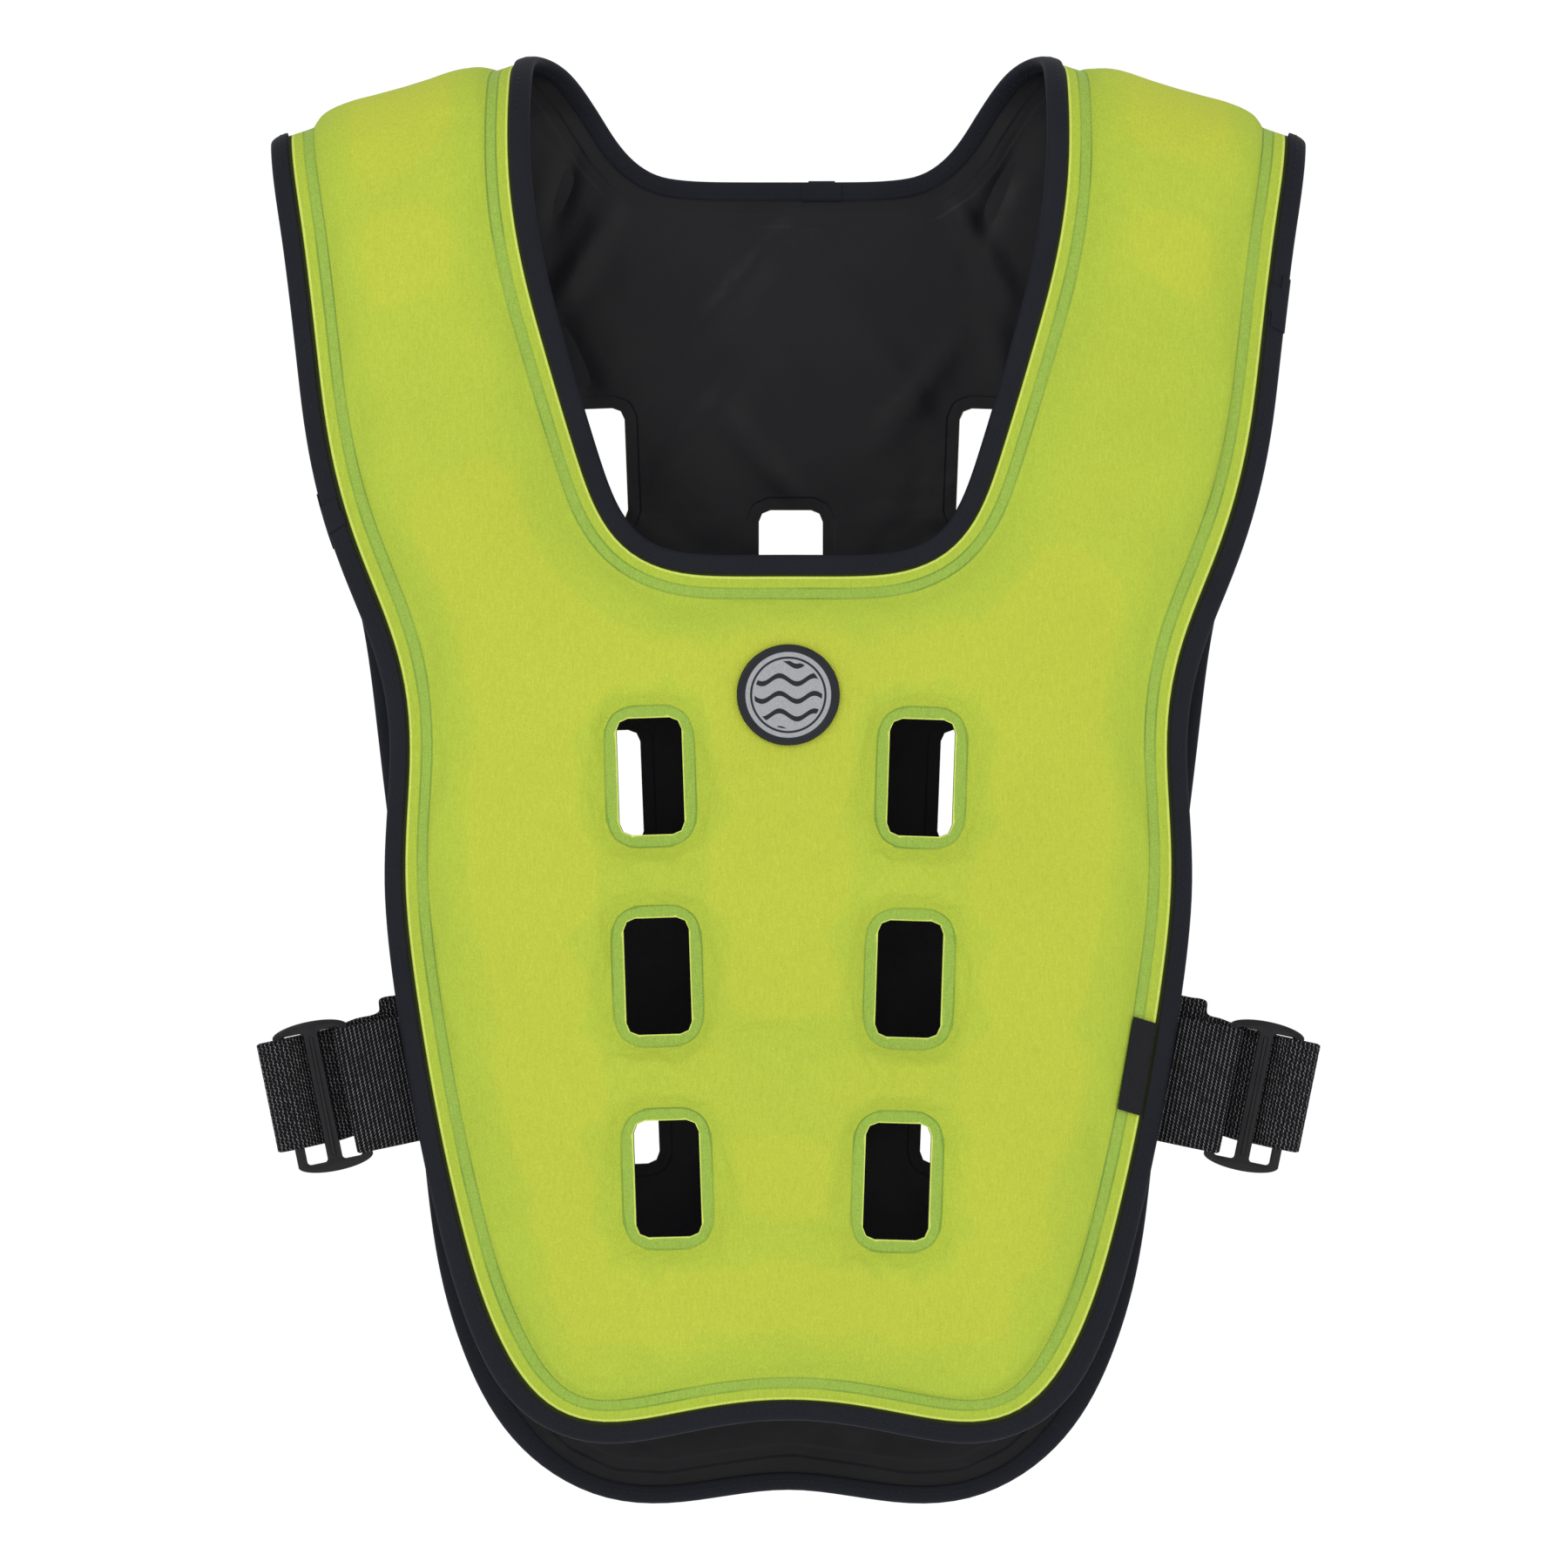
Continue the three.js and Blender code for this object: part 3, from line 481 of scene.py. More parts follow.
weld_out = ramp_between(tree, from_rim, weld_end - 0.4, weld_end + 0.3, 1.0, 0.0)
rim_weld = maths(tree, "MULTIPLY", weld_in, weld_out)
round_vent = ramp_between(tree, from_vent, vent_weld - 0.4, vent_weld + 0.4, 1.0, 0.0)
weld = maths(tree, "MAXIMUM", rim_weld, round_vent)
# Thin darker lines along the weld edges, broken up by noise: painted shade of the small steps there.
line = None
for distance, at in ((from_rim, weld_start), (from_rim, weld_end), (from_vent, vent_weld)):
    mask = use_group(tree, pressed, {"Distance": distance, "At": at, "Half Width": 0.25})["Mask"]
    line = mask if line is None else maths(tree, "MAXIMUM", line, mask)
faint = add_node(tree, "ShaderNodeTexNoise", {"Vector": place, "Scale": 30.0, "Detail": 2.0})
faint = ramp_between(tree, faint.outputs["Fac"], 0.35, 0.65, 0.25, 0.75)
weld_edge_shade = maths(tree, "MULTIPLY", line, faint)
body_colour = blend_colours(tree, slope_shade, (0.490, 0.560, 0.052, 1), (0.415, 0.535, 0.052, 1))
body_colour = blend_colours(tree, weld, body_colour, (0.325, 0.480, 0.068, 1))
body_colour = blend_colours(tree, weld_edge_shade, body_colour, (0.170, 0.300, 0.040, 1))
grit = add_node(tree, "ShaderNodeTexNoise", {"Vector": place, "Scale": 1500.0, "Detail": 2.0})
grit_share = ramp_between(tree, grit.outputs["Fac"], 0.42, 0.62, 0.0, 0.35)
grit_share = maths(tree, "MULTIPLY", weld, grit_share)
body_colour = blend_colours(tree, grit_share, body_colour, (0.210, 0.360, 0.045, 1))
# Painted highlights: a bright line round each vent's cut edge and a thin glint just inside the rim
# tape.
vent_edge_highlight = ramp_between(tree, from_vent, 0.25, 0.6, 0.8, 0.0)
tape_glint = use_group(tree, pressed, {"Distance": from_rim, "At": 8.0, "Half Width": 0.26})["Mask"]
painted_edge_highlight = maths(tree, "MAXIMUM", vent_edge_highlight, maths(tree, "MULTIPLY", tape_glint, 0.75))
body_colour = blend_colours(tree, painted_edge_highlight, body_colour, (0.72, 0.80, 0.16, 1))
# A near-black strip just inside the rim tape: painted shadow of the tape's raised edge.
tape_edge_shadow = ramp_between(tree, from_rim, 7.25, 7.6, 0.97, 0.0)
body_colour = blend_colours(tree, tape_edge_shadow, body_colour, (0.010, 0.012, 0.006, 1))
toned = blend_colours(tree, 1.0, body_colour, cloth["Tone"], "MULTIPLY")
tree.links.new(toned, shader.inputs["Base Color"])
tree.links.new(scaled(tree, weld, -0.2, 0.8), shader.inputs["Roughness"])
relief = maths(tree, "MULTIPLY", weld, scaled(tree, grit.outputs["Fac"], 0.6, -1.4))
relief = maths(tree, "ADD", relief, maths(tree, "MULTIPLY", cloth["Height"], 0.7))
add_bump(tree, shader, relief, 0.8, 0.0003)

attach(cover, "root")
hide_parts("outer_shell")


# The lining is thin black satin, cut to the cover's outline and welded to it in the same
# bands. It faces the wearer and lies in soft folds that fan down from the shoulders.
lining = joined_copy("inner_lining", "lining")
under_tape_edge = 7.3
lining_vent, lining_rims, lining_vents = measure_from_rims(lining, (under_tape_edge,), ())
split_long_sides(lining, lining_vent, (0,))
round_off(lining, 2, math.radians(60), [("from_rim", under_tape_edge, 0), ("from_vent", 0, 1)])

# The back panel's body side shows through the neck, so it gets smaller faces for its folds.
pick(lining)
bpy.ops.object.mode_set(mode="EDIT")
bpy.ops.mesh.select_mode(type="FACE")
bpy.ops.mesh.select_all(action="DESELECT")
bpy.ops.object.mode_set(mode="OBJECT")
for face in lining.data.polygons:
    face.select = face.center.y > 0.01 and face.normal.y < -0.3 and face.center.z > -0.36
bpy.ops.object.mode_set(mode="EDIT")
bpy.ops.mesh.subdivide(number_cuts=2)
bpy.ops.mesh.select_mode(type="VERT")
bpy.ops.object.mode_set(mode="OBJECT")

# Each soft fold: x and z of its two ends, half width and height, all in millimetres.
soft_folds = [
    (-71, -32, -96, -72, 5.0, 2.2),
    (-86, -8, -97, -40, 4.5, -1.8),
    (3, -37, -38, -86, 6.0, 2.0),
    (3, -37, 54, -114, 6.0, 1.9),
    (-12, -95, -52, -142, 6.5, 1.7),
    (63, -22, 92, -70, 5.0, 2.1),
    (98, 4, 74, -56, 5.0, -1.8),
    (34, -132, 70, -86, 6.0, 1.6),
    (-30, -112, 4, -152, 6.0, 1.6),
    (-100, -66, -74, -128, 7.0, -1.6),
    (84, -72, 96, -150, 7.0, 1.6),
    (-20, -52, 26, -60, 8.0, -1.4),
]
points = places(lining)
for name, loops in (("from_rim", lining_rims), ("from_vent", lining_vents)):
    exact = np.asarray(away_from(points, loops), np.float32)
    lining.data.attributes[name].data.foreach_set("value", exact)
lift = np.zeros(len(points))
for x0, z0, x1, z1, wide, high in soft_folds:
    start = np.array([x0, z0]) / 1000
    side = np.array([x1, z1]) / 1000 - start
    share = (points[:, [0, 2]] - start) @ side / (side @ side)
    near = np.clip(share, 0, 1)
    gap = np.linalg.norm(points[:, [0, 2]] - start - near[:, None] * side, axis=1) * 1000
    fade = np.sin(np.pi * np.clip(0.15 + 0.7 * near, 0, 1))
    lift += high * np.exp(-((gap / wide) ** 2)) * fade
body_side = np.array([v.normal.y < -0.3 and v.co.y > 0.01 for v in lining.data.vertices])
calm = np.clip((noted(lining, "from_rim") - 9) / 14, 0, 1)
calm *= np.clip((noted(lining, "from_vent") - 1) / 10, 0, 1)
points[:, 1] -= lift * body_side * calm * 0.001
lining.data.vertices.foreach_set("co", points.ravel())
lining.data.update()

tree, shader = start_finish("black_satin", lining, 0.36, 0.0, 0.17)
place = add_node(tree, "ShaderNodeTexCoord").outputs["Object"]
from_rim = reading(tree, "from_rim")
from_vent = reading(tree, "from_vent")
satin = use_group(tree, twill, {"Position": place, "Ribs per Metre": 1500.0, "Slub": 0.3})
drape = {"Vector": place, "Scale": 16.0, "Detail": 2.0, "Distortion": 0.6}
folds = add_node(tree, "ShaderNodeTexNoise", drape)
crumple = add_node(tree, "ShaderNodeTexNoise", {"Vector": place, "Scale": 55.0, "Detail": 3.0})
vent_line = ramp_between(tree, from_vent, 4.6, 5.6, 1.0, 0.0)
rim_line = use_group(tree, pressed, {"Distance": from_rim, "At": 14.5, "Half Width": 1.6})["Mask"]
emboss = maths(tree, "MAXIMUM", vent_line, rim_line)
# The black is lighter where the fold noise rises, on the crests of the bumped folds: a painted
# sheen.
deep_black = (0.005, 0.005, 0.007, 1)
fold_sheen_black = (0.012, 0.012, 0.014, 1)
satin_colour = blend_colours(tree, folds.outputs["Fac"], deep_black, fold_sheen_black)
satin_colour = blend_colours(tree, 1.0, satin_colour, satin["Tone"], "MULTIPLY")
tree.links.new(satin_colour, shader.inputs["Base Color"])
soft = maths(tree, "MULTIPLY", folds.outputs["Fac"], 6.0)
soft = maths(tree, "ADD", soft, maths(tree, "MULTIPLY", crumple.outputs["Fac"], 0.8))
soft = maths(tree, "ADD", soft, maths(tree, "MULTIPLY", emboss, -0.35))
first = add_bump(tree, shader, soft, 0.6, 0.001)
add_bump(tree, shader, satin["Height"], 0.15, 0.0002, first)

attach(lining, "root")
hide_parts("inner_lining")


# The rim and the neck are bound with smooth navy polyester tape, folded over the cut edges
# of cover and lining and sewn through along its inner edge.
def taped(node, name):
    """The tape rounded off, with each of its long corners noted by a number of its own."""
    piece = joined_copy(node, name)
    numbers = np.zeros(len(piece.data.vertices))
    corners = rim_loops(piece, math.radians(60))
    for order, corner in enumerate(corners):
        numbers[corner] = 7.0**order
    note(piece, "corner", numbers)
    round_off(piece, 2, math.radians(180))
    return piece, len(corners)


def corner_curve(tape, number):
    """Points and normals along one long corner of the finished tape."""
    values = noted(tape, "corner")
    found = set(np.flatnonzero(np.isclose(values, number, rtol=1e-5)).tolist())
    nearby = {}
    for edge in tape.data.edges:
        a, b = edge.vertices
        if a in found and b in found:
            nearby.setdefault(a, []).append(b)
            nearby.setdefault(b, []).append(a)
    curve = [min(nearby)]
    done = {curve[0]}
    while True:
        onward = [v for v in nearby[curve[-1]] if v not in done]
        if not onward:
            break
        curve.append(onward[0])
        done.add(onward[0])
    return [tape.data.vertices[v] for v in curve]


def off_cloth(places_along):
    """How far a row of points lies off the cover and the lining, on average."""
    gaps = []
    for place in places_along:
        gaps.append(min(cloth.find_nearest(place)[3] for cloth in (cover_face, lining_side)))
    return sum(gaps) / len(gaps)


stitch_pitch = 0.003
stitch_in = 0.0019
stitch_half = (0.00030, 0.00024, 0.00098)


def sew(tape, corners, name):
    """Short stitches on both faces of a tape, a little in from its sewn edge."""
    surface = surface_of(tape)
    # Folded edges lie 1.2 to 3 mm outside the cover's rim and sewn ones over 4.5 mm inside.
    folded = []
    sewn_edges = []
    for order in range(corners):
        curve = [vertex.co.copy() for vertex in corner_curve(tape, 7.0**order)]
        away = away_from(np.array([place[:] for place in curve]), cover_rims).mean()
        if 1.2 < away < 3:
            folded += [place[:] for place in curve]
        elif away > 4.5:
            sewn_edges.append((off_cloth(curve), curve))
    folded = np.array(folded)
    outer_edges = sorted(sewn_edges, key=lambda edge: edge[0])[-2:]
    placed = []
    for gap, curve in outer_edges:
        spare = 0.0
        for here, after in zip(curve, curve[1:] + curve[:1]):
            run = after - here
            length = run.length
            run.normalize()
            fold = Vector(folded[np.argmin(np.linalg.norm(folded - np.array(here[:]), axis=1))])
            under = [cloth.find_nearest(here) for cloth in (cover_face, lining_side)]
            lift = (here - min(under, key=lambda found: found[3])[0]).normalized()
            outward = fold - here
            outward -= run * outward.dot(run)
            outward = (outward - lift * outward.dot(lift)).normalized()
            at = spare
            while at < length < 0.02:
                start = here + run * at + outward * stitch_in + lift * 0.0015
                spot, normal = surface.ray_cast(start, -lift, 0.004)[:2]
                if spot is not None:
                    placed.append((spot, run.copy(), normal))
                at += stitch_pitch
            spare = max(at - length, 0.0)
    bpy.ops.object.select_all(action="DESELECT")
    bpy.ops.mesh.primitive_uv_sphere_add(segments=6, ring_count=4, radius=1)
    stitch = bpy.context.active_object
    shape = places(stitch) * stitch_half
    sides = [list(face.vertices) for face in stitch.data.polygons]
    bpy.data.objects.remove(stitch)
    points = []
    faces = []
    for hit, run, normal in placed:
        normal = (normal - run * normal.dot(run)).normalized()
        across = run.cross(normal)
        turn = np.array([across[:], normal[:], run[:]])
        first = len(points) * len(shape)
        faces += [[first + v for v in face] for face in sides]
        points.append(shape @ turn + np.array(hit[:]))
    data = bpy.data.meshes.new(name)
    data.from_pydata(np.concatenate(points).tolist(), [], faces)
    sewn = bpy.data.objects.new(name, data)
    bpy.context.scene.collection.objects.link(sewn)
    pick(sewn)
    bpy.ops.object.mode_set(mode="EDIT")
    bpy.ops.mesh.select_all(action="SELECT")
    bpy.ops.mesh.normals_make_consistent(inside=False)
    bpy.ops.object.mode_set(mode="OBJECT")
    bpy.ops.object.shade_smooth()
    tree, shader = start_finish(name.replace("stitches", "thread"), sewn, 0.5, 0.0, 0.3)
    place = add_node(tree, "ShaderNodeTexCoord").outputs["Object"]
    ply = add_node(tree, "ShaderNodeTexNoise", {"Vector": place, "Scale": 2600.0, "Detail": 2.0})
    dark_ply = (0.0015, 0.0015, 0.002, 1)
    light_ply = (0.006, 0.006, 0.008, 1)
    colour = blend_colours(tree, ply.outputs["Fac"], dark_ply, light_ply)
    tree.links.new(colour, shader.inputs["Base Color"])
    add_bump(tree, shader, ply.outputs["Fac"], 0.4, 0.0002)
    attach(sewn, "root")


def tape_finish(piece, name, base):
    tree, shader = start_finish(name, piece, 0.62, 0.0, 0.13)
    place = add_node(tree, "ShaderNodeTexCoord").outputs["Object"]
    weave = use_group(tree, twill, {"Position": place, "Ribs per Metre": 1150.0, "Slub": 0.5})
    worn = add_node(tree, "ShaderNodeTexNoise", {"Vector": place, "Scale": 40.0, "Detail": 4.0})
    lighter = tuple(min(c * 1.45, 1.0) for c in base[:3]) + (1,)
    colour = blend_colours(tree, worn.outputs["Fac"], base, lighter)
    colour = blend_colours(tree, 1.0, colour, weave["Tone"], "MULTIPLY")
    tree.links.new(colour, shader.inputs["Base Color"])
    add_bump(tree, shader, weave["Height"], 0.35, 0.00025)


def lapped_end(tape, name, across, height, panel, reach):
    """A second layer of tape where its two ends overlap, at a place on one panel's rim."""
    lap = bpy.data.objects.new(name, tape.data.copy())
    bpy.context.scene.collection.objects.link(lap)
    mesh = bmesh.new()
    mesh.from_mesh(lap.data)
    on_panel = [v.co for v in mesh.verts if v.co.y * panel > 0]
    aim = Vector((across, 0, height)) / 1000
    spot = min(on_panel, key=lambda place: (place.x - aim.x) ** 2 + (place.z - aim.z) ** 2).copy()
    reach = reach / 1000
    outside = [face for face in mesh.faces if (face.calc_center_median() - spot).length > reach]
    bmesh.ops.delete(mesh, geom=outside, context="FACES")
    for vertex in mesh.verts:
        vertex.co += vertex.normal * 0.00006
    mesh.to_mesh(lap.data)
    mesh.free()
    layer = lap.modifiers.new("layer", "SOLIDIFY")
    layer.thickness = 0.00045
    layer.offset = 1.0
    apply_all(lap)
    bpy.ops.object.shade_smooth_by_angle(angle=math.radians(50))
    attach(lap, "root")


cover_face = surface_of(cover)
lining_side = surface_of(lining)
rim_tape, rim_corners = taped("edge_binding", "rim_tape")
neck_tape, neck_corners = taped("neck_binding", "neck_tape")
for tape, node in ((rim_tape, "edge_binding"), (neck_tape, "neck_binding")):
    tape_finish(tape, node.replace("binding", "tape"), (0.0075, 0.0085, 0.013, 1))
    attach(tape, "root")
    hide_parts(node)
# Across and height of each lap, then 1 for the back panel or -1 for the front, and its reach.
lapped_end(neck_tape, "neck_tape_lap", 14, -64, 1, 9)
lapped_end(rim_tape, "left_tape_lap", -184, -163, -1, 9)
lapped_end(rim_tape, "right_tape_lap", 198, -77, -1, 10)
sew(rim_tape, rim_corners, "rim_stitches")
sew(neck_tape, neck_corners, "neck_stitches")


# Each side closes with black elastic: a short doubled loop sewn behind the front edge, and
# a long strap with a looped pile face, sewn behind the back edge and run through a slider.
strap_tilt = math.radians(11.5)


def corner_tracks(node):
    """The four long corners of a CAD strap, each from one sewn or free end to the other."""
    piece = joined_copy(node, "strap_trace")
    points = places(piece)
    # The long edges across the strap lead from each low corner to the high one above it.
    upper = {}
    for lean in (-1, 1):
        up = np.array([lean * math.sin(strap_tilt), 0, math.cos(strap_tilt)])
        found = {}
        for edge in piece.data.edges:
            a, b = edge.vertices
            run = points[b] - points[a]
            if np.linalg.norm(run) > 0.03 and abs(run @ up) > 0.9999 * np.linalg.norm(run):
                low, high = (a, b) if run @ up > 0 else (b, a)
                found[low] = high
        if len(found) > len(upper):
            upper = found
    beside = {low: [] for low in upper}
    for face in piece.data.polygons:
        lows = [v for v in face.vertices if v in upper]
        if len(lows) == 2 and any(upper[v] in face.vertices for v in lows):
            beside[lows[0]].append(lows[1])
            beside[lows[1]].append(lows[0])
    bpy.data.objects.remove(piece)
    loop = [min(upper, key=lambda v: points[v][2])]
    onward = beside[loop[0]][0]
    while onward != loop[0]:
        loop.append(onward)
        onward = [v for v in beside[onward] if v != loop[-2]][0]
    # The loop runs out along one face and back along the other, so it folds at the ends.
    count = len(loop)
    half = count // 2
    folds = []
    for start in range(count):
        there = [loop[(start + 1 + n) % count] for n in range(half)]
        back = [loop[(start - n) % count] for n in range(half)]
        folds.append((np.linalg.norm(points[there] - points[back], axis=1).sum(), there, back))
    there, back = min(folds, key=lambda fold: fold[0])[1:]
    highs = [[upper[v] for v in side] for side in (back, there)]
    return np.array([points[there], points[back], points[highs[0]], points[highs[1]]])


def smooth_rows(rows, step):
    """Catmull-Rom through rows of points, resampled about every step along their middle."""
    middle = rows.mean(0)
    lengths = np.concatenate([[0], np.cumsum(np.linalg.norm(np.diff(middle, axis=0), axis=1))])
    count = int(lengths[-1] / step) + 1
    at = np.linspace(0, lengths[-1], count)
    before = 2 * rows[:, :1] - rows[:, 1:2]
    beyond = 2 * rows[:, -1:] - rows[:, -2:-1]
    padded = np.concatenate([before, rows, beyond], axis=1)
    knots = [2 * lengths[0] - lengths[1], *lengths, 2 * lengths[-1] - lengths[-2]]
    made = []
    for t in at:
        k = min(max(int(np.searchsorted(lengths, t, side="right")) - 1, 0), len(lengths) - 2)
        t0, t1, t2, t3 = knots[k : k + 4]
        p0, p1, p2, p3 = (padded[:, k + n] for n in range(4))
        s = (t - t1) / (t2 - t1)
        m1 = (p2 - p0) / (t2 - t0) * (t2 - t1)
        m2 = (p3 - p1) / (t3 - t1) * (t2 - t1)
        near_end = (2 * s**3 - 3 * s**2 + 1) * p1 + (s**3 - 2 * s**2 + s) * m1
        made.append(near_end + (3 * s**2 - 2 * s**3) * p2 + (s**3 - s**2) * m2)
    return np.array(made).transpose(1, 0, 2), at


def woven_strap(node, name, step, across, rib):
    """A strap mesh along the CAD strap's corners, its faces lifted by rib(along, across)."""
    tracks, along = smooth_rows(corner_tracks(node), step)
    a, b, c, d = tracks
    short_side = np.linalg.norm(a - b, axis=1).mean() < np.linalg.norm(a - d, axis=1).mean()
    if not short_side:
        a, b, c, d = a, d, c, b
    edge_in = 0.012
    shares = np.concatenate([[0.0], np.linspace(edge_in, 1 - edge_in, across), [1.0]])
    width = np.linalg.norm(a - d, axis=1).mean()
    profile = [(u, 0.0) for u in shares[1:-1]] + [(1.0, 0.5)]
    profile += [(u, 1.0) for u in shares[-2:0:-1]] + [(0.0, 0.5)]
    rows = []
    for u, v in profile:
        low = a + (d - a) * u
        high = b + (c - b) * u
        lift = rib(along * 1000, (u - 0.5) * width * 1000)
        face = {0.0: -1.0, 1.0: 1.0, 0.5: 0.0}[v]
        out = (high - low) / np.linalg.norm(high - low, axis=1)[:, None]
        rows.append(low + (high - low) * v + out * face * lift[:, None] * 0.001)
    points = np.array(rows).transpose(1, 0, 2).reshape(-1, 3)
    round_count = len(profile)
    stations = len(along)
    faces = []
    for k in range(stations - 1):
        for n in range(round_count):
            m = (n + 1) % round_count
            here = k * round_count
            ahead = here + round_count
            faces.append((here + n, here + m, ahead + m, ahead + n))
    faces.append(tuple(range(round_count))[::-1])
    faces.append(tuple((stations - 1) * round_count + n for n in range(round_count)))
    data = bpy.data.meshes.new(name)
    data.from_pydata(points.tolist(), [], faces)
    strap = bpy.data.objects.new(name, data)
    bpy.context.scene.collection.objects.link(strap)
    note(strap, "along", np.repeat(along * 1000, round_count))
    note(strap, "across", np.tile([(u - 0.5) * width * 1000 for u, v in profile], stations))
    pick(strap)
    bpy.ops.object.mode_set(mode="EDIT")
    bpy.ops.mesh.select_all(action="SELECT")
    bpy.ops.mesh.normals_make_consistent(inside=False)
    bpy.ops.object.mode_set(mode="OBJECT")
    bpy.ops.object.shade_smooth_by_angle(angle=math.radians(60))
    return strap


def elastic_rib(along, across):
    return 0.16 * np.cos(along * 2 * math.pi / 1.7) + 0.05 * np.sin(across * 2.1)


def pile_rib(along, across):
    wave = along + 0.35 * np.abs((across % 2.8) - 1.4)
    lumps = 0.05 * np.sin(along * 5.3 + across * 3.1) * np.sin(across * 4.7)
    return 0.15 * np.cos(wave * 2 * math.pi / 1.6) + lumps


def strap_finish(strap, name, rib_pitch, yarn_pitch, slant):
    tree, shader = start_finish(name, strap, 0.62, 0.0, 0.1)
    along = reading(tree, "along")
    across = reading(tree, "across")
    if slant:
        zigzag = maths(tree, "PINGPONG", maths(tree, "ADD", across, 56.0), 1.4)
        along = maths(tree, "ADD", along, maths(tree, "MULTIPLY", zigzag, slant))
    rib = maths(tree, "COSINE", maths(tree, "MULTIPLY", along, 2 * math.pi / rib_pitch))
    step = maths(tree, "FLOOR", maths(tree, "MULTIPLY", along, 1 / rib_pitch))
    offset = maths(tree, "MULTIPLY", step, yarn_pitch * 0.41)
    yarn = maths(tree, "ADD", across, offset)
    yarn = maths(tree, "SINE", maths(tree, "MULTIPLY", yarn, 2 * math.pi / yarn_pitch))
    # Light grey dashes on the rib crests, broken up by fibre noise: painted highlights on the yarns
    # over a near-black base.
    crest = ramp_between(tree, rib, 0.1, 0.85)
    dash = maths(tree, "MULTIPLY", crest, ramp_between(tree, yarn, -0.1, 0.7))
    place = add_node(tree, "ShaderNodeTexCoord").outputs["Object"]
    fibre = add_node(tree, "ShaderNodeTexNoise", {"Vector": place, "Scale": 650.0, "Detail": 3.0})
    loose = ramp_between(tree, fibre.outputs["Fac"], 0.36, 0.60, 0.3, 1.0)
    crest_highlight = maths(tree, "MULTIPLY", dash, loose)
    colour = blend_colours(tree, crest_highlight, (0.003, 0.003, 0.004, 1), (0.260, 0.260, 0.272, 1))
    tree.links.new(colour, shader.inputs["Base Color"])
    height = maths(tree, "MULTIPLY", rib, 0.6)
    height = maths(tree, "ADD", height, maths(tree, "MULTIPLY", yarn, 0.4))
    height = maths(tree, "ADD", height, fibre.outputs["Fac"])
    add_bump(tree, shader, height, 0.6, 0.0003)


row_step = 0.0005
for side in ("left", "right"):
    short_loop = woven_strap(side + "_strap_loop", side + "_elastic_loop", row_step, 14, elastic_rib)
    long_strap = woven_strap(side + "_side_strap", side + "_pile_strap", row_step, 32, pile_rib)
    strap_finish(short_loop, side + "_ribbed_elastic", 1.7, 1.3, 0.0)
    strap_finish(long_strap, side + "_looped_pile", 1.6, 1.4, 0.35)
    for strap, node in ((short_loop, "_strap_loop"), (long_strap, "_side_strap")):
        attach(strap, "root")
        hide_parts(side + node)


# Three-bar sliders of moulded black acetal, with rounded ends, two long slots and a grip
# ridge down the middle bar. They hang on the loops and lock the long straps.
slider_tall = 0.061
slider_wide = 0.0306
slider_thick = 0.0032
slot_tall = 0.0524
bar_wide = 0.004
middle_wide = 0.006
slot_corner = 0.0014
edge_soft = 0.0008
ridge_high = 0.0009


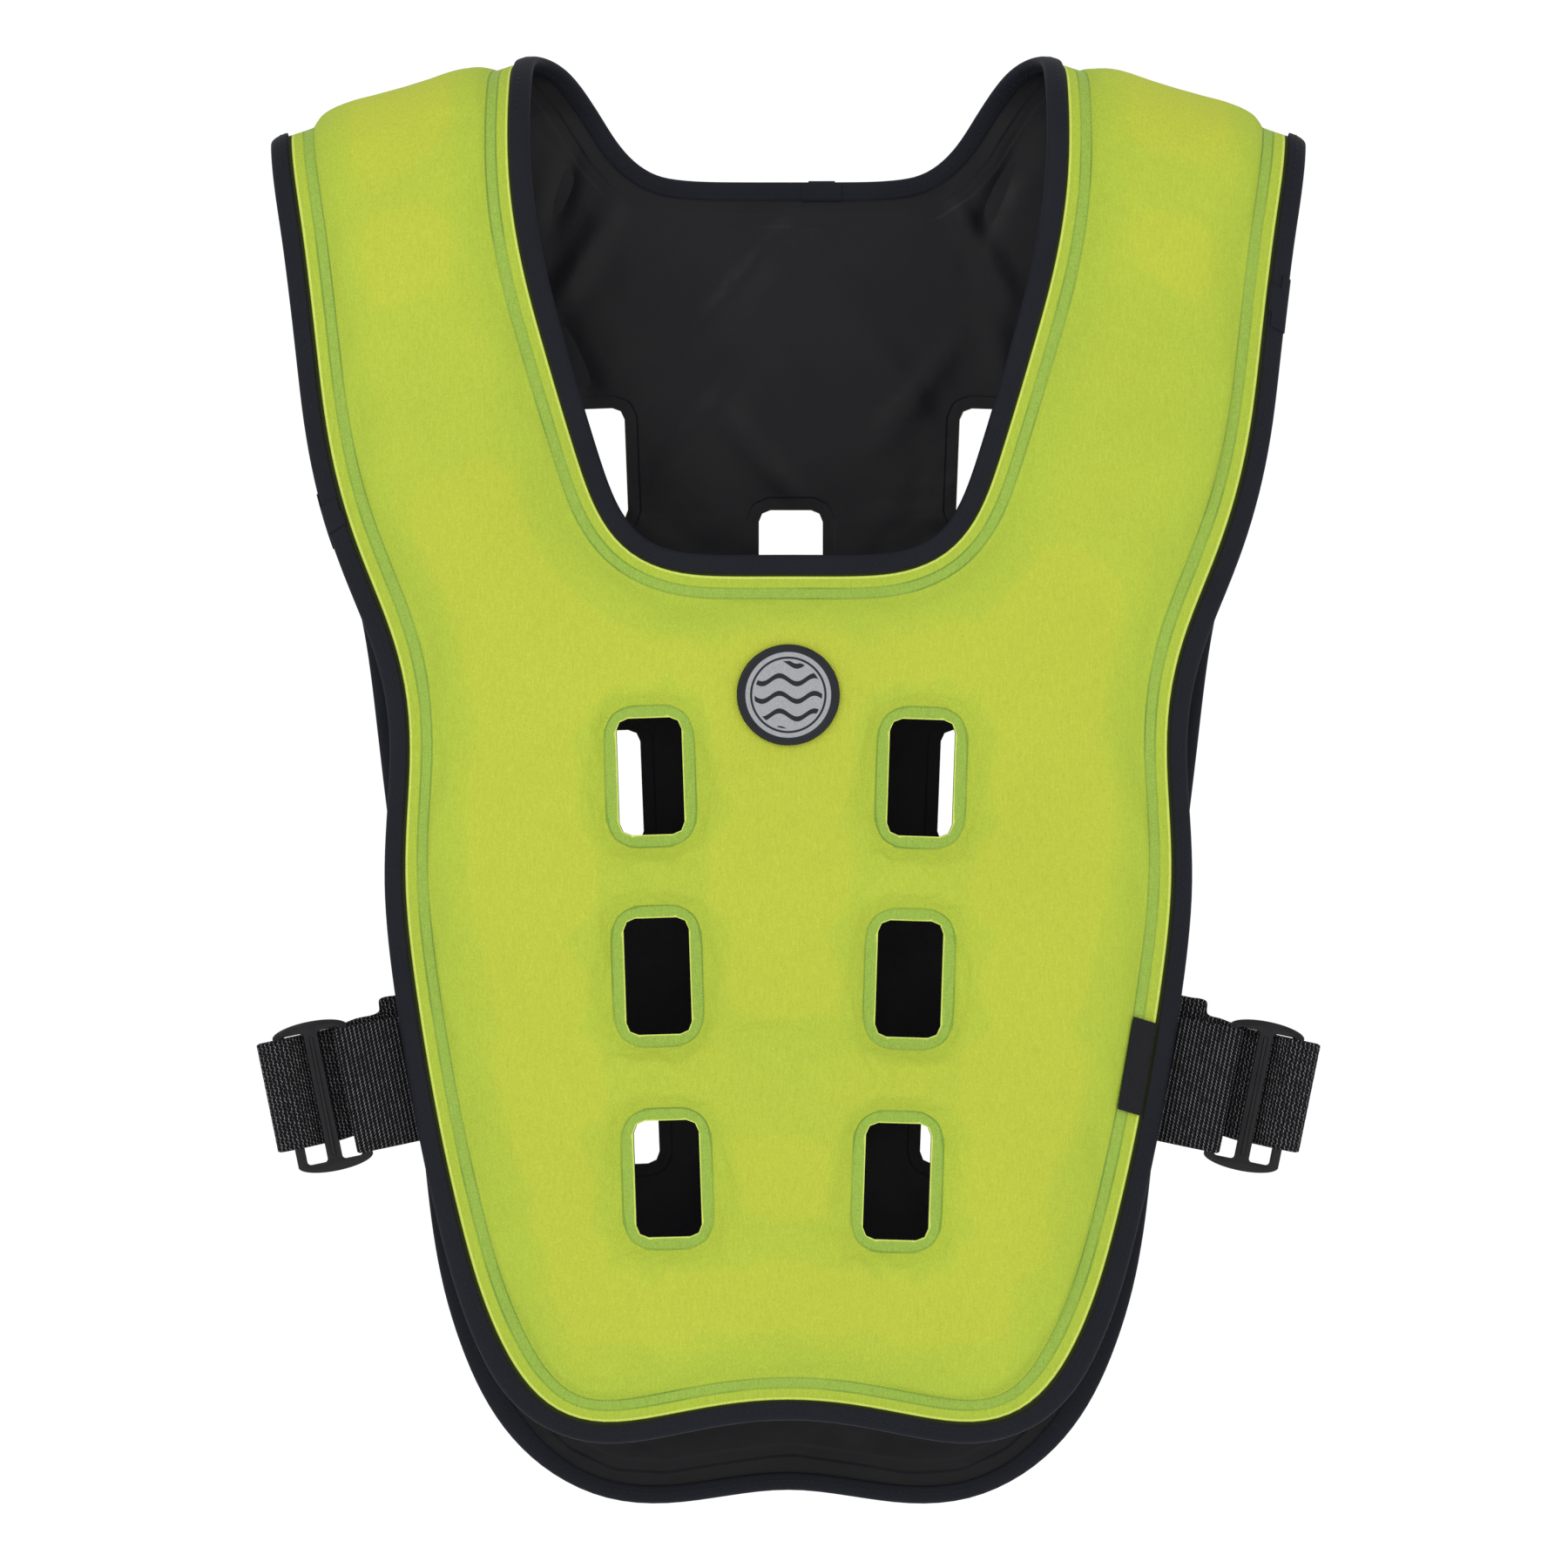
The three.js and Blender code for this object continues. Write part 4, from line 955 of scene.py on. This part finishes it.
def moulded_slider(side, name):
    low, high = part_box(side + "_slider")
    bpy.ops.object.select_all(action="DESELECT")
    bpy.ops.mesh.primitive_cylinder_add(vertices=72, radius=slider_wide / 2, depth=slider_thick)
    body = bpy.context.active_object
    body.name = name
    end_rise = slider_tall / 2 - slot_tall / 2
    bpy.ops.object.mode_set(mode="EDIT")
    bpy.ops.mesh.select_all(action="SELECT")
    bpy.ops.transform.resize(value=(1, end_rise / (slider_wide / 2), 1))
    bpy.ops.object.mode_set(mode="OBJECT")
    for vertex in body.data.vertices:
        if abs(vertex.co.y) < 1e-6:
            continue
        vertex.co.y += math.copysign(slot_tall / 2, vertex.co.y)
    slot_wide = slider_wide / 2 - bar_wide - middle_wide / 2
    for slot_side in (-1, 1):
        across = slot_side * (middle_wide / 2 + slot_wide / 2)
        bpy.ops.mesh.primitive_cube_add(size=1, location=(across, 0, 0))
        cutter = bpy.context.active_object
        cutter.scale = (slot_wide, slot_tall, slider_thick * 3)
        bpy.ops.object.transform_apply(location=True, rotation=True, scale=True)
        bpy.ops.object.mode_set(mode="EDIT")
        bpy.ops.mesh.select_all(action="DESELECT")
        bpy.ops.object.mode_set(mode="OBJECT")
        for edge in cutter.data.edges:
            a, b = (cutter.data.vertices[v].co for v in edge.vertices)
            edge.select = abs(a.z - b.z) > slider_thick
        bpy.ops.object.mode_set(mode="EDIT")
        bpy.ops.mesh.bevel(offset=slot_corner, segments=5, affect="EDGES")
        bpy.ops.object.mode_set(mode="OBJECT")
        cut = body.modifiers.new("slot", "BOOLEAN")
        cut.operation = "DIFFERENCE"
        cut.solver = "EXACT"
        cut.object = cutter
        apply_all(body)
        bpy.data.objects.remove(cutter)
    edge_round = body.modifiers.new("edge_round", "BEVEL")
    edge_round.width = edge_soft
    edge_round.segments = 3
    edge_round.limit_method = "ANGLE"
    edge_round.angle_limit = math.radians(50)
    apply_all(body)
    bpy.ops.object.select_all(action="DESELECT")
    bpy.ops.mesh.primitive_cylinder_add(vertices=20, radius=ridge_high, depth=slot_tall - bar_wide)
    ridge = bpy.context.active_object
    ridge.data.transform(Matrix.Rotation(math.radians(90), 4, "X"))
    ridge.data.transform(Matrix.Translation((0, 0, slider_thick / 2)))
    ridge_ends = ridge.modifiers.new("ridge_ends", "BEVEL")
    ridge_ends.width = 0.0005
    ridge_ends.segments = 3
    ridge_ends.angle_limit = math.radians(60)
    apply_all(ridge)
    pick(body, ridge)
    bpy.ops.object.join()
    body.data.transform(Matrix.Rotation(math.radians(90), 4, "X"))
    tilt = strap_tilt * (1 if side == "right" else -1)
    body.data.transform(Matrix.Rotation(tilt, 4, "Y"))
    centre = ((low.x + high.x) / 2, high.y - slider_thick / 2, (low.z + high.z) / 2)
    body.data.transform(Matrix.Translation(centre))
    pick(body)
    bpy.ops.object.shade_smooth_by_angle(angle=math.radians(40))
    return body


for side in ("left", "right"):
    slider = moulded_slider(side, side + "_moulded_slider")
    tree, shader = start_finish(side + "_moulded_acetal", slider, 0.34, 0.0, 0.24)
    place = add_node(tree, "ShaderNodeTexCoord").outputs["Object"]
    grain = add_node(tree, "ShaderNodeTexNoise", {"Vector": place, "Scale": 420.0, "Detail": 3.0})
    rubs = add_node(tree, "ShaderNodeTexNoise", {"Vector": place, "Scale": 90.0, "Detail": 4.0})
    black = (0.004, 0.004, 0.005, 1)
    rubbed = (0.011, 0.011, 0.013, 1)
    colour = blend_colours(tree, rubs.outputs["Fac"], black, rubbed)
    tree.links.new(colour, shader.inputs["Base Color"])
    polish = ramp_between(tree, rubs.outputs["Fac"], 0.3, 0.7, 0.20, 0.34)
    tree.links.new(polish, shader.inputs["Roughness"])
    add_bump(tree, shader, grain.outputs["Fac"], 0.12, 0.0002)
    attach(slider, "root")
    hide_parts(side + "_slider")


# A plain black woven label is sewn against the rim tape low on one side of the front.
label = joined_copy("side_label", "woven_label")
round_label = label.modifiers.new("soft_edges", "BEVEL")
round_label.width = 0.00025
round_label.segments = 2
round_label.angle_limit = math.radians(50)
apply_all(label)
bpy.ops.object.shade_smooth_by_angle(angle=math.radians(50))
tree, shader = start_finish("woven_label", label, 0.7, 0.0, 0.15)
place = add_node(tree, "ShaderNodeTexCoord").outputs["Object"]
ribs = use_group(tree, twill, {"Position": place, "Ribs per Metre": 900.0, "Slub": 0.6})
colour = blend_colours(tree, ribs["Height"], (0.006, 0.006, 0.008, 1), (0.018, 0.018, 0.022, 1))
tree.links.new(colour, shader.inputs["Base Color"])
add_bump(tree, shader, ribs["Height"], 0.5, 0.0003)
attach(label, "root")
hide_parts("side_label")


# A round chest badge of silver-grey film on rubber, with a raised black rim, is fused to
# the middle of the front pad.
badge = joined_copy("chest_badge", "round_badge")
round_off(badge, 2, math.radians(60))
badge_low, badge_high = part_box("chest_badge")
badge_centre = (badge_low + badge_high) / 2
tree, shader = start_finish("badge_film", badge, 0.45)
place = add_node(tree, "ShaderNodeTexCoord").outputs["Object"]
to_centre = (-badge_centre.x, 0, -badge_centre.z)
centred = add_node(tree, "ShaderNodeMapping", {"Vector": place, "Location": to_centre})
flat = add_node(tree, "ShaderNodeSeparateXYZ", {0: centred.outputs[0]})
across = maths(tree, "MULTIPLY", flat.outputs["X"], 1000.0)
up = maths(tree, "MULTIPLY", flat.outputs["Z"], 1000.0)
radius = maths(tree, "ADD", maths(tree, "POWER", across, 2.0), maths(tree, "POWER", up, 2.0))
radius = maths(tree, "SQRT", radius)
# Millimetres from the centre to the end of the waves, to the thin ring and to the black rim.
wave_field = 13.4
ring_radius = 14.8
rim_radius = 16.9
ripple = maths(tree, "MULTIPLY", maths(tree, "SINE", maths(tree, "MULTIPLY", across, 0.45)), 1.6)
level = maths(tree, "PINGPONG", maths(tree, "ADD", maths(tree, "ADD", up, ripple), 50.0), 3.5)
wave_line = ramp_between(tree, level, 0.9, 1.15, 1.0, 0.0)
in_field = ramp_between(tree, radius, wave_field, wave_field + 0.2, 1.0, 0.0)
wave_line = maths(tree, "MULTIPLY", wave_line, in_field)
rim_band = ramp_between(tree, radius, rim_radius, rim_radius + 0.3)
thin_ring = {"Distance": radius, "At": ring_radius, "Half Width": 0.3}
thin_ring = use_group(tree, pressed, thin_ring)["Mask"]
dark = maths(tree, "MAXIMUM", maths(tree, "MAXIMUM", wave_line, thin_ring), rim_band)
mottle = add_node(tree, "ShaderNodeTexNoise", {"Vector": place, "Scale": 1200.0, "Detail": 2.0})
silver = blend_colours(tree, mottle.outputs["Fac"], (0.25, 0.26, 0.28, 1), (0.42, 0.43, 0.45, 1))
colour = blend_colours(tree, dark, silver, (0.011, 0.012, 0.016, 1))
tree.links.new(colour, shader.inputs["Base Color"])
add_bump(tree, shader, mottle.outputs["Fac"], 0.15, 0.0002)
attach(badge, "root")
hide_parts("chest_badge")


# The studio: a pale floor, soft light from all round, and the camera level with the chest.
floor_level = -0.66
bpy.ops.object.select_all(action="DESELECT")
bpy.ops.mesh.primitive_plane_add(size=12, location=(0, 0, floor_level))
floor = bpy.context.active_object
floor.name = "floor"
bpy.ops.object.transform_apply(location=True, rotation=True, scale=True)
tree, shader = start_finish("pale_floor", floor, 0.9)
speckle = add_node(tree, "ShaderNodeTexNoise", {"Scale": 3.0, "Detail": 2.0})
pale = blend_colours(tree, speckle.outputs["Fac"], (0.90, 0.90, 0.90, 1), (0.92, 0.92, 0.92, 1))
tree.links.new(pale, shader.inputs["Base Color"])
shader.inputs["Emission Color"].default_value = (1, 1, 1, 1)
shader.inputs["Emission Strength"].default_value = 0.30

world = bpy.data.worlds.new("studio")
bpy.context.scene.world = world
world.use_nodes = True
backdrop = world.node_tree.nodes["Background"]
backdrop.inputs["Color"].default_value = (1, 1, 1, 1)
seen = world.node_tree.nodes.new("ShaderNodeLightPath").outputs["Is Camera Ray"]
glow = world.node_tree.nodes.new("ShaderNodeMapRange")
world.node_tree.links.new(seen, glow.inputs["Value"])
glow.inputs["To Min"].default_value = 0.78
glow.inputs["To Max"].default_value = 1.02
world.node_tree.links.new(glow.outputs["Result"], backdrop.inputs["Strength"])


def soft_light(name, place, aim, size, power):
    data = bpy.data.lights.new(name, "AREA")
    data.shape = "RECTANGLE"
    data.size = size[0]
    data.size_y = size[1]
    data.energy = power
    lamp = bpy.data.objects.new(name, data)
    bpy.context.scene.collection.objects.link(lamp)
    lamp.location = place
    lamp.rotation_euler = (Vector(aim) - Vector(place)).to_track_quat("-Z", "Y").to_euler()


chest = (0, 0, -0.25)
soft_light("key", (-1.4, -2.4, 1.3), chest, (1.4, 1.4), 16)
soft_light("fill", (1.7, -2.2, 0.5), chest, (1.2, 1.6), 7)

# The lens is long, because the front fills the picture from three and a half metres away.
camera_far = 3.50
camera_right = -0.00175
camera_high = -0.2683
camera_data = bpy.data.cameras.new("camera")
camera_data.sensor_width = 36
camera_data.lens = 198.3
camera = bpy.data.objects.new("camera", camera_data)
bpy.context.scene.collection.objects.link(camera)
camera.location = (camera_right, -camera_far, camera_high)
camera.rotation_euler = (math.radians(90), 0, 0)
bpy.context.scene.camera = camera
bpy.context.scene.view_settings.view_transform = "Standard"
